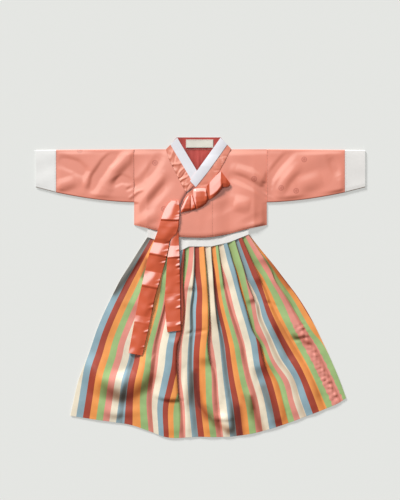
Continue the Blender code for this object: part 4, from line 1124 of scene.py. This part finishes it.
def tube_uv(rings):
    """Cloth coordinates on a tube: along it, and round it."""
    step = np.linalg.norm(np.diff(rings, axis=1, append=rings[:, :1]), axis=2)
    round_it = np.cumsum(step, axis=1) - step
    return np.stack([rings[:, :, 0], round_it], axis=2)


def sleeve_folds(x, y):
    """Creases of a sleeve, fading out at both its ends."""
    from_end = np.minimum(np.abs(x) - BODY_HALF, SLEEVE_END - np.abs(x))
    lift = 0.85 * crease_height(x, y, JACKET_CREASES) + (0.0008 + 0.0004 * (x > 0)) * ripple(x, y, 0.045, 11)
    return (np.maximum(lift, -0.0011) + 0.0008) * smooth(from_end, -0.004, 0.012)


for side, sign in (("left", -1), ("right", 1)):
    places = np.linspace(BODY_HALF + 0.0001, SLEEVE_END - 0.0001, 64)
    rings = flat_tube(places, sign, sleeve_foot, sleeve_folds)
    piece = add_cloth(
        f"sleeve_{side}_satin", rings, tube_uv(rings), 0.0009, salmon_satin, around=True, offset=-1.0,
    )
    declare(piece, f"sleeve_{side}", (0.178, 0.242), area=0.0401)

    rings = flat_tube(
        np.linspace(SLEEVE_END, SPAN_HALF, 20), sign, cuff_foot,
        lambda x, y: 0.0003 + 0.0003 * ripple(x, y, 0.03, 23),
    )
    # The right cuff is made a little darker than the left
    piece = add_cloth(
        f"cuff_{side}_cotton", rings, tube_uv(rings), 0.0009, white_cotton, around=True, offset=-1.0,
        shade=0.985 - 0.02 * sign,
    )
    declare(piece, f"cuff_{side}", (0.046, 0.195), area=0.0086)
    print(side, "sleeve and cuff:", rings.shape[1], "points round each ring")

# %% [markdown]
# ## Lining, collar and white strip
# The red lining shows through the neck. The collar bands are satin folded lengthways, stretched
# a little by the seam that joins them to the fronts, so they pucker. The white strip sewn on
# top is changed for a fresh one when it is soiled, so it is a plain stiff tape.

# %% Strips along a collar
def strip(edge, seam, height, from_share=0.0, to_share=1.0, rows=90, columns=14):
    """A grid along a strip, a row for each step down it, between its free edge and its seam."""
    count = min(len(edge), len(seam))
    places = np.arange(count)
    wanted = np.linspace(0, count - 1, rows)
    a, b = (
        np.stack([np.interp(wanted, places, [p[k] for p in side[:count]]) for k in (0, 1)], axis=1)
        for side in (edge, seam)
    )
    share = np.linspace(from_share, to_share, columns)[None, :, None]
    flat = a[:, None] * (1 - share) + b[:, None] * share
    z = height(flat[:, :, 0], flat[:, :, 1], share[:, :, 0], np.linspace(0, 1, rows)[:, None])
    return np.concatenate([flat, np.broadcast_to(z, flat.shape[:2])[:, :, None]], axis=2)


def collar_floor(x, y):
    """Height of the top of the fronts, where the collar bands lie."""
    return drape(x, y) + LAYER + PUFF


def climb(x, y, share):
    """How far the top band climbs over the other one, most at its free edge."""
    return on_line(CLIMB, y) * (1 - share) + lap_height(x) * share


def puckers(along, share, rows):
    """Small pulls across a band where its seam holds it: place along, width, height in mm, slant."""
    total = 0.0
    for place, width, height, slant in rows:
        bend = 0.03 * np.sin(7 * share + 40 * place)
        aside = along - place - bend - slant * (share - 0.7)
        total = total + 0.8 * height * MM * np.exp(-((aside / width) ** 2))
    return total * smooth(share, 0.15, 0.75)


# %% The lining in the neck
y = np.linspace(SHOULDER_Y - 0.0012, 0.246, 40)[:, None]
share = (y[0] - y) / (y[0] - y[-1])
across = np.linspace(0, 1, 40)[None, :]
x = (-0.064 + 0.038 * share) * (1 - across) + (0.058 - 0.052 * share) * across
z = drape(x, y) + LAYER
for at, wide, high in ((-0.004, 0.0016, 0.0009), (0.005, 0.0014, 0.0005), (-0.018, 0.0025, 0.0005)):
    z = z + high * np.exp(-((x - at) / wide) ** 2)
points = np.stack([x, np.broadcast_to(y, x.shape), z], axis=2)
# Painted shade: the lining is darkened under both collar edges, with a painted dark line along its top
shade = painted_gap_shadow(points[:, :, 0], points[:, :, 1], INNER_COLLAR_EDGE, 7.0, 0.40)
shade = shade * painted_gap_shadow(points[:, :, 0], points[:, :, 1], OUTER_COLLAR_EDGE[:4], 6.0, 0.35)
shade = shade * painted_gap_shadow(points[:, :, 0], points[:, :, 1], ((-0.060, 0.3135), (0.055, 0.3135)), 2.2, 0.45)
lining = add_cloth("lining_taffeta", points, flat_uv(points), 0.0008, red_lining, shade=shade)
declare(
    lining, "jacket_lining", (0.123, 0.070),
    area=plan_area(points),
)

# %% The two collar bands
# Each row: place along the band, width, height in mm, slant
INNER_PULLS = (
    (0.20, 0.030, 0.5, 0.05), (0.33, 0.022, -0.6, 0.16), (0.42, 0.020, 0.9, -0.10),
    (0.52, 0.034, -0.4, 0.10),
    (0.60, 0.018, 1.0, 0.20), (0.67, 0.014, -0.9, -0.05), (0.735, 0.022, 1.1, 0.08),
    (0.80, 0.014, -0.5, 0.22),
    (0.87, 0.030, 0.7, -0.12), (0.94, 0.018, -0.7, 0.05),
)
OUTER_PULLS = (
    (0.10, 0.006, -0.7, 0.05), (0.135, 0.005, 0.5, 0.06), (0.16, 0.006, -0.7, 0.05),
    (0.20, 0.005, 0.4, 0.03),
    (0.225, 0.006, -0.5, 0.04), (0.33, 0.030, 0.5, 0.04), (0.44, 0.020, -0.4, 0.03),
    (0.52, 0.026, 0.5, 0.05),
)
points = strip(
    INNER_COLLAR_EDGE, INNER_COLLAR_SEAM[:6],
    lambda x, y, share, along: (
        collar_floor(x, y) + puckers(along, share, INNER_PULLS) + 0.0005 * share * ripple(x, y, 0.009, 8)
    ), to_share=0.99,
)
points = points[:, ::-1]
# Painted shadow in a line along the outer front's free edge
shade = painted_gap_shadow(points[:, :, 0], points[:, :, 1], FREE_EDGE, 4.0, 1.0)
piece = add_cloth("collar_inner_satin", points, flat_uv(points), 0.0009, collar_satin, shade=shade)
declare(
    piece, "collar_inner", (0.045, 0.150),
    area=plan_area(points),
)

points = strip(
    OUTER_COLLAR_EDGE, OUTER_COLLAR_SEAM,
    lambda x, y, share, along: collar_floor(x, y) + climb(x, y, share) + puckers(along, share, OUTER_PULLS),
    to_share=0.99, rows=130,
)
# Painted shade in dark lines along the fold line inside the free edge, the free edge and the seam
shade = painted_gap_shadow(points[:, :, 0], points[:, :, 1], INNER_LINE, 1.5, 0.8)
shade = shade * painted_gap_shadow(points[:, :, 0], points[:, :, 1], FREE_EDGE, 1.0, 0.8)
shade = shade * painted_gap_shadow(points[:, :, 0], points[:, :, 1], OUTER_COLLAR_SEAM[:4], 1.3, 0.45)
piece = add_cloth("collar_outer_satin", points, flat_uv(points), 0.0009, collar_satin, shade=shade)
declare(
    piece, "collar_outer", (0.048, 0.240),
    area=plan_area(points),
)


# %% The white strip, and the collar behind the neck
def band_share(edge, seam, width=0.0215):
    """Share of a collar band's width that the white strip covers at each station."""
    shares = []
    for i, ((x0, y0), (x1, y1)) in enumerate(zip(edge, seam)):
        before, after = edge[max(i - 1, 0)], edge[min(i + 1, len(edge) - 1)]
        run = math.dist(before, after)
        across = abs((x1 - x0) * (after[1] - before[1]) - (y1 - y0) * (after[0] - before[0])) / run
        shares.append(min(width / across, 0.97))
    return shares


def lerp_points(edge, seam, shares):
    """Points that share of the way from each point of an edge to its seam."""
    pairs = zip(edge, seam, shares)
    return tuple((x0 + (x1 - x0) * s, y0 + (y1 - y0) * s) for (x0, y0), (x1, y1), s in pairs)


shares = band_share(INNER_COLLAR_EDGE, INNER_COLLAR_SEAM[:6])
outer = lerp_points(INNER_COLLAR_EDGE, INNER_COLLAR_SEAM, shares)
points = strip(
    INNER_COLLAR_EDGE, outer,
    lambda x, y, share, along: collar_floor(x, y) + BAND_GAP + 0.0003 * np.sin(math.pi * share),
)
piece = add_cloth("neckband_inner_tape", points[:, ::-1], flat_uv(points[:, ::-1]), 0.0005, collar_strip)
declare(
    piece, "neckband_inner", (0.0215, 0.102),
    area=plan_area(points),
)

OUTER_TIP = (-0.0107, 0.2279)
edge = OUTER_COLLAR_EDGE[:4]
outer = lerp_points(edge, OUTER_COLLAR_SEAM, band_share(OUTER_COLLAR_EDGE, OUTER_COLLAR_SEAM)[:4])
outer = (*outer[:3], OUTER_TIP)
points = strip(edge, outer, lambda x, y, share, along: (
    collar_floor(x, y) + climb(x, y, share * 0.45) + BAND_GAP + 0.0004 * np.sin(math.pi * share)
))
piece = add_cloth("neckband_outer_tape", points, flat_uv(points), 0.0006, collar_strip)
declare(
    piece, "neckband_outer", (0.0215, 0.122),
    area=plan_area(points),
)

x, share = np.linspace(0, 1, 40)[None, :], np.linspace(0, 1, 10)[:, None]
y = TOP_Y + (SHOULDER_Y - 0.0004 - TOP_Y) * share
xs = (-0.0540 - 0.0235 * share) * (1 - x) + (0.0465 + 0.0230 * share) * x
points = np.stack([xs, np.broadcast_to(y, xs.shape), np.full(xs.shape, 0.0013)], axis=2)
# Painted shade: the facing is darker towards its two ends and across its lower part
shade = 0.92 - 0.22 * smooth(np.abs(points[:, :, 0] + 0.002), 0.034, 0.044)
shade = shade * (1 - 0.35 * smooth(-points[:, :, 1], -0.3175, -0.3150))
piece = add_cloth("collar_back_facing", points, flat_uv(points), 0.0009, red_lining, shade=shade)
declare(
    piece, "collar_back", (0.147, 0.028),
    area=plan_area(points),
)
y = TOP_Y - 0.0002 - 0.0213 * share
xs = (-0.0530 - 0.0170 * share) * (1 - x) + (0.0455 + 0.0165 * share) * x
points = np.stack([xs, np.broadcast_to(y, xs.shape), np.zeros(xs.shape)], axis=2)
piece = add_cloth("neckband_back_tape", points, flat_uv(points), 0.0009, collar_strip)
declare(piece, "neckband_back", (0.132, 0.0215), area=plan_area(points))

# %% The label
x, y = np.meshgrid(-0.002 + np.linspace(-0.031, 0.031, 32), 0.3271 + np.linspace(0.00925, -0.00925, 12))
z = np.full(x.shape, 0.0028) + 0.0002 * ripple(x, y, 0.012, 4)
points = np.stack([x, y, z], axis=2)
piece = add_cloth("label_ribbon", points, flat_uv(points), 0.0005, label_weave)
declare(piece, "label", (0.062, 0.0185), area=plan_area(points))

# %% [markdown]
# ## Ties and bow
# Two long ties are knotted once with a single loop, the way a jeogori is always tied. A ribbon
# of satin bends in broad flat facets with a crisp edge between them, and each facet takes the
# light in one piece. Small nets of points in millimetres place those facets, and their folds are
# rounded a little.

# %% The tails
# Each row: place down the garment, left edge, right edge, height of the underside, in mm.
# The height runs up slowly to a bend and drops past it, so each stretch takes the light in one
LONG_EDGES = (
    (196.6, -65.4, -50.4, 10.2), (189.8, -72.7, -48.6, 11.3), (178.4, -80.5, -47.7, 12.4),
    (164.7, -86, -48.3, 13.6), (154.7, -89.1, -49.2, 14.5), (152, -90.5, -49.5, 13.2),
    (139.6, -93.5, -50.2, 13.2), (126, -97.8, -55.4, 12.4), (112.3, -102.8, -69.1, 11.4),
    (103.2, -106.5, -71.4, 9.8), (90.6, -111.5, -73.6, 11), (78.1, -115.6, -76.8, 12.3),
    (74.7, -117, -77.5, 11.2), (39.3, -125.9, -87.8, 8.4), (23.4, -129, -92.3, 9.8),
    (6.3, -132.9, -97.4, 11.4), (1.7, -134.1, -99, 10.3), (-20.9, -139.3, -105.1, 9.2),
    (-62.1, -147.3, -113.3, 7.6), (-76.9, -150, -116.3, 8.3), (-81.5, -150.9, -117.2, 8),
    (-120.3, -158.2, -125.9, 7.3), (-149.2, -163.8, -132.5, 6.9),
)
SHORT_EDGES = (
    (132.8, -62.7, -50.4, 9.6), (112.3, -66.3, -49.5, 9.6), (94, -69.5, -48.8, 9.6),
    (82.6, -72.3, -48.3, 10.9), (68.1, -75, -47.9, 12.6), (64.4, -75.5, -47.9, 11.6),
    (23.4, -78.2, -47.2, 9.4), (-15.4, -80.7, -46.5, 8.1), (-25.6, -81.2, -46.3, 8.5),
    (-30.2, -81.2, -46.3, 8.6), (-79.2, -77.7, -45.6, 7.8), (-90.6, -76.6, -45.4, 8.2),
    (-101.6, -75.3, -44.9, 7.3),
)


def tail(edges, slant, rows, seed, columns=15, turn_down=0.0):
    """A tie as a flat ribbon between its two edges, with bends across it and a pulled right edge."""
    share = np.linspace(0, 1, columns)[None, :]
    y = np.linspace(edges[0][0], edges[-1][0], rows) * MM
    down = [-row[0] for row in edges]
    left, right, height = (np.interp(-y / MM, down, [row[k] for row in edges]) * MM for k in (1, 2, 3))
    x = left[:, None] + (right - left)[:, None] * share
    low = np.clip((y[0] - y) / (y[0] - y[-1]), 0, 1)[:, None]
    y = y[:, None] + slant * (x - left[:, None]) * smooth(low, 0.0, 0.4)
    pulls = 0.0
    draws = np.random.default_rng(70 + seed)
    for _ in range(round((y[0, 0] - y[-1, 0]) / 0.0125)):
        at, size = draws.uniform(y[-1, 0], y[0, 0]), draws.uniform(-0.8, 1.0)
        away = (y - at - 0.3 * (x - left[:, None])) / draws.uniform(0.0014, 0.0030)
        pulls = pulls + size * np.exp(-(away**2))
    held = smooth(share, 0.60, 1.0) * (0.25 + 0.75 * smooth(low, 0.16, 0.24))
    z = height[:, None] + 0.0009 * pulls * held - turn_down * smooth(share, 0.5, 1.0)
    z = z + 0.0003 * ripple(x, y, 0.014, 40 + seed) + 0.0005 * np.sin(math.pi * share)
    uv = np.stack([np.repeat(share * 0.031, rows, axis=0), y], axis=2)
    return np.stack([x, y, z], axis=2), uv


points, uv = tail(SHORT_EDGES, 0.12, 200, seed=1)
piece = add_cloth("tie_tail_short_satin", points, uv, 0.0008, coral_satin)
declare(
    piece, "tie_tail_short", (0.034, 0.270),
    area=plan_area(points),
)
points, uv = tail(LONG_EDGES, -0.19, 260, seed=2, turn_down=0.0008)
piece = add_cloth("tie_tail_long_satin", points, uv, 0.0008, coral_satin)
declare(
    piece, "tie_tail_long", (0.036, 0.360),
    area=plan_area(points),
)

print("bends across the ties:", len(LONG_EDGES) + len(SHORT_EDGES) - 4)

# %% The gather, the knot and the loop
FLAP_NET = (
    ((-28.5, 206.9, 10.2), (-26.7, 208, 11.4), (-23.9, 209, 11.2),
     (-21.7, 209, 11), (-19.4, 208, 12.2), (-18, 206.7, 10.4)),
    ((-34.4, 197.8, 10.4), (-31.7, 198.5, 12.2), (-23.9, 198.9, 11.9),
     (-21.7, 198.5, 11.2), (-16.6, 197.1, 13.4), (-14.4, 196.2, 10.8)),
    ((-39.4, 187.5, 10.4), (-35.8, 188.4, 12.6), (-24.4, 189.1, 12.2),
     (-21.7, 188.4, 11), (-13.5, 188, 13.8), (-11.2, 187.1, 10.8)),
    ((-43.5, 178.4, 10.2), (-39, 178.9, 12.4), (-24.9, 179.3, 11.8),
     (-21.7, 179.3, 10.6), (-12.5, 180.7, 13), (-9.8, 179.8, 10.6)),
    ((-44.9, 169.7, 9.8), (-39.4, 171.6, 10.2), (-25.3, 174.3, 10),
     (-21.7, 175.2, 9.6), (-13, 177.5, 10.4), (-9.8, 178.4, 9.8)),
)
points = facet_net(FLAP_NET, 33, 41)
piece = add_cloth("tie_gather_satin", points, flat_uv(points), 0.0008, coral_satin, depth=0.45)
declare(
    piece, "tie_gather", (0.030, 0.040),
    area=plan_area(points),
)

KNOT_NET = (
    ((-16.4, 222.6, 10.4), (-11.2, 224.2, 10.8), (-1.1, 225.4, 11),
     (7.1, 225.4, 11), (11.2, 224.5, 10.8), (13, 222.6, 10)),
    ((-16.4, 217.2, 10.8), (-11.6, 218.5, 13.4), (-1.1, 219.2, 13.8),
     (7.5, 219, 13.6), (12.5, 218.3, 14), (14.8, 215.8, 10.4)),
    ((-15.3, 205.8, 10.8), (-11.2, 205.8, 13.9), (-0.7, 205.8, 13.8),
     (9.3, 206.2, 13.2), (14.4, 206.7, 14.4), (17.1, 205.8, 10.2)),
    ((-13.5, 194.4, 10.6), (-9.3, 194.4, 13.6), (0.2, 194.8, 13.2),
     (9.3, 197.1, 12.6), (15.3, 200.8, 13), (18.5, 199.4, 10)),
    ((-11.6, 185.2, 10.2), (-8, 185.2, 12), (-0.2, 186.2, 12),
     (7.1, 189.4, 11.2), (12.1, 193, 11.2), (14.8, 193.9, 9.8)),
    ((-9.3, 177.5, 9.8), (-6.2, 179.3, 10), (0, 182.1, 10),
     (5.7, 185.2, 9.8), (9.8, 188.2, 9.8), (12.1, 189.4, 9.6)),
)
points = facet_net(KNOT_NET, 41, 41)
piece = add_cloth("tie_knot_satin", points, flat_uv(points), 0.0008, coral_satin, depth=0.35)
declare(piece, "tie_knot", (0.030, 0.048), area=plan_area(points))

LOOP_NET = (
    ((13.9, 230.4, 11.3), (14.6, 220.6, 11.4), (16.2, 206.9, 11.2), (17.6, 199.4, 10)),
    ((20.1, 236.8, 10), (20.3, 224, 10.3), (21.4, 207.6, 10.7), (22.6, 200.3, 9.8)),
    ((29, 246.8, 10.9), (28.7, 230.8, 11.7), (30.3, 212.2, 12.3), (31.2, 206.2, 10.4)),
    ((37.6, 255.5, 11.9), (37.6, 238.8, 12.8), (39, 219.9, 13.4), (39.7, 214.4, 11.5)),
    ((46.3, 263, 13), (45.8, 246.8, 13.8), (46.5, 229.9, 14.2), (47.4, 224, 12.7)),
    ((49, 260.9, 12.6), (49.9, 247.7, 13.1), (50.4, 236.8, 13), (50.8, 227.9, 11.5)),
    ((58.1, 248.4, 12), (58.4, 242.7, 12.3), (58.6, 235.9, 12), (58.1, 228.3, 10.8)),
    ((67.3, 236.3, 9.8), (66.3, 234, 9.9), (65.2, 231.5, 9.9), (63.6, 229.3, 9.8)),
)
points = facet_net(LOOP_NET, 57, 31)
points = points.transpose(1, 0, 2)
piece = add_cloth("bow_loop_satin", points, flat_uv(points), 0.0008, coral_satin, depth=0.40)
declare(
    piece, "bow_loop", (0.045, 0.050),
    area=plan_area(points),
)

# %% [markdown]
# ## Stitches
# A hanbok is sewn with fine running stitches along its seams, and the label and the cotton
# pieces have a visible row beside their edges. One Geometry Nodes tree lays a small rounded
# thread at even steps along any line, so all the seams use the same tree with other sizes.
# The stitches are drawn about twice as large as the real ones, which would vanish in the picture.

# %% A running stitch in Geometry Nodes
def stitch_tree():
    """A tree that lays one thread after another along the edges of a mesh."""
    tree = bpy.data.node_groups.new("running_stitch", "GeometryNodeTree")
    sockets = tree.interface
    sockets.new_socket("Geometry", in_out="INPUT", socket_type="NodeSocketGeometry")
    for name, kind in (
        ("Spacing", "NodeSocketFloat"), ("Stitch length", "NodeSocketFloat"),
        ("Thread width", "NodeSocketFloat"),
        ("Seed", "NodeSocketInt"), ("Thread", "NodeSocketMaterial"),
    ):
        sockets.new_socket(name, in_out="INPUT", socket_type=kind)
    sockets.new_socket("Geometry", in_out="OUTPUT", socket_type="NodeSocketGeometry")
    given = add_node(tree, "NodeGroupInput")
    curve = add_node(tree, "GeometryNodeMeshToCurve", {"Mesh": given.outputs["Geometry"]})
    places = add_node(tree, "GeometryNodeCurveToPoints", {
        "Curve": curve.outputs["Curve"], "Length": given.outputs["Spacing"],
    }, mode="LENGTH")
    thread = add_node(tree, "GeometryNodeMeshUVSphere", {"Segments": 6, "Rings": 4, "Radius": 0.5})
    size = add_node(tree, "ShaderNodeCombineXYZ", {
        "X": given.outputs["Thread width"], "Y": given.outputs["Thread width"],
        "Z": given.outputs["Stitch length"],
    })
    uneven_by = add_node(tree, "FunctionNodeRandomValue", {
        2: 0.85, 3: 1.12, "Seed": given.outputs["Seed"],
    }, data_type="FLOAT")
    scale = add_node(tree, "ShaderNodeVectorMath", {
        0: size.outputs["Vector"], "Scale": uneven_by.outputs[1],
    }, operation="SCALE")
    laid = add_node(tree, "GeometryNodeInstanceOnPoints", {
        "Points": places.outputs["Points"], "Instance": thread.outputs["Mesh"],
        "Rotation": places.outputs["Rotation"], "Scale": scale.outputs["Vector"],
    })
    real = add_node(tree, "GeometryNodeRealizeInstances", {"Geometry": laid.outputs["Instances"]})
    dressed = add_node(tree, "GeometryNodeSetMaterial", {
        "Geometry": real.outputs["Geometry"], "Material": given.outputs["Thread"],
    })
    result = add_node(tree, "NodeGroupOutput")
    tree.links.new(dressed.outputs["Geometry"], result.inputs["Geometry"])
    return tree


RUNNING_STITCH = stitch_tree()


def stitch(name, lines, spacing, length, width, material, seed=3):
    """Rows of stitches along lines of points, as one plain mesh that rides on the garment."""
    points, edges = [], []
    for line in lines:
        first = len(points)
        points += [tuple(float(v) for v in point) for point in line]
        edges += [(k, k + 1) for k in range(first, len(points) - 1)]
    guide = bpy.data.meshes.new(f"{name}_line")
    guide.from_pydata(points, edges, [])
    piece = bpy.data.objects.new(name, guide)
    bpy.context.scene.collection.objects.link(piece)
    modifier = piece.modifiers.new("stitches", "NODES")
    modifier.node_group = RUNNING_STITCH
    sockets = RUNNING_STITCH.interface.items_tree
    given = {item.name: item.identifier for item in sockets if item.in_out == "INPUT"}
    for label, value in (
        ("Spacing", spacing), ("Stitch length", length), ("Thread width", width), ("Seed", seed),
        ("Thread", material),
    ):
        modifier[given[label]] = value
    seen = bpy.context.evaluated_depsgraph_get()
    plain = bpy.data.meshes.new_from_object(piece.evaluated_get(seen), depsgraph=seen)
    piece.modifiers.clear()
    piece.data = plain
    bpy.data.meshes.remove(guide)
    plain.shade_smooth()
    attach(piece, "root")
    print(f"{name}: {len(plain.polygons)} faces")


# %% The rows of stitches
def front_line(points, lapped=True, steps=60):
    """Points on top of the fronts along a bent line on the plan."""
    points = np.array(points, float)
    wanted = np.linspace(0, len(points) - 1, steps)
    x, y = (np.interp(wanted, np.arange(len(points)), points[:, k]) for k in (0, 1))
    z = front_height(x, y) + (lap_height(x) if lapped else 0.0) + JACKET_WALL + 0.0001
    return np.stack([x, y, z], axis=1)


hem_x = np.linspace(-0.046, BODY_HALF - 0.004, 30)
inner_x = np.linspace(-BODY_HALF + 0.004, -0.092, 16)
lines = [
    front_line([
        (GUSSET_X + 0.0012, v) for v in np.linspace(0.196, on_curve(JACKET_HEM, GUSSET_X) + 0.003, 16)
    ]),
    front_line([(v, on_curve(JACKET_HEM, v) + 0.0032) for v in hem_x], steps=120),
    front_line([(v, on_curve(JACKET_HEM, v) + 0.0032) for v in inner_x], lapped=False),
]
stitch("front_stitches", lines, 0.0034, 0.0021, 0.0004, salmon_thread)
lines = []
for sign in (-1, 1):
    for at in (BODY_HALF + 0.0016, SLEEVE_END - 0.0016):
        y = np.linspace(float(sleeve_head(at)) - 0.004, float(sleeve_foot(at)) + 0.004, 60)
        x = np.full(60, sign * at)
        share = (y - float(sleeve_foot(at))) / (float(sleeve_head(at)) - float(sleeve_foot(at)))
        crest = sleeve_folds(x, y) * smooth(share, 0, 0.10) * smooth(1 - share, 0, 0.10)
        lines.append(np.stack([x, y, SLEEVE_HEIGHT + crest + 0.0001], axis=1))
stitch("sleeve_stitches", lines, 0.0034, 0.0021, 0.0004, salmon_thread, seed=5)
lines = []
for sign in (-1, 1):
    at = SLEEVE_END + 0.0020
    y = np.linspace(float(sleeve_head(at)) - 0.004, float(cuff_foot(at)) + 0.004, 60)
    x = np.full(60, sign * at)
    share = (y - float(cuff_foot(at))) / (float(sleeve_head(at)) - float(cuff_foot(at)))
    crest = (0.0003 + 0.0003 * ripple(x, y, 0.03, 23)) * smooth(share, 0, 0.10) * smooth(1 - share, 0, 0.10)
    lines.append(np.stack([x, y, SLEEVE_HEIGHT + crest + 0.0001], axis=1))
stitch("cuff_stitches", lines, 0.0034, 0.0021, 0.0004, white_thread, seed=6)
around = [(-0.0315, 0.3350), (0.0275, 0.3350), (0.0275, 0.3192), (-0.0315, 0.3192), (-0.0315, 0.3350)]
wanted = np.linspace(0, 4, 121)
x, y = (np.interp(wanted, range(5), [p[k] for p in around]) for k in (0, 1))
lines = [np.stack([x, y, np.full(121, 0.0036)], axis=1)]
stitch("label_stitches", lines, 0.0021, 0.0013, 0.0003, white_thread, seed=7)

# %% [markdown]
# ## The size
# The dressed garment's size is printed, in millimetres. The dressed garment has to fit the CAD
# model's box.

# %% The size
low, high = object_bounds()
print("size in mm:", [round((b - a) * 1000, 1) for a, b in zip(low, high)])
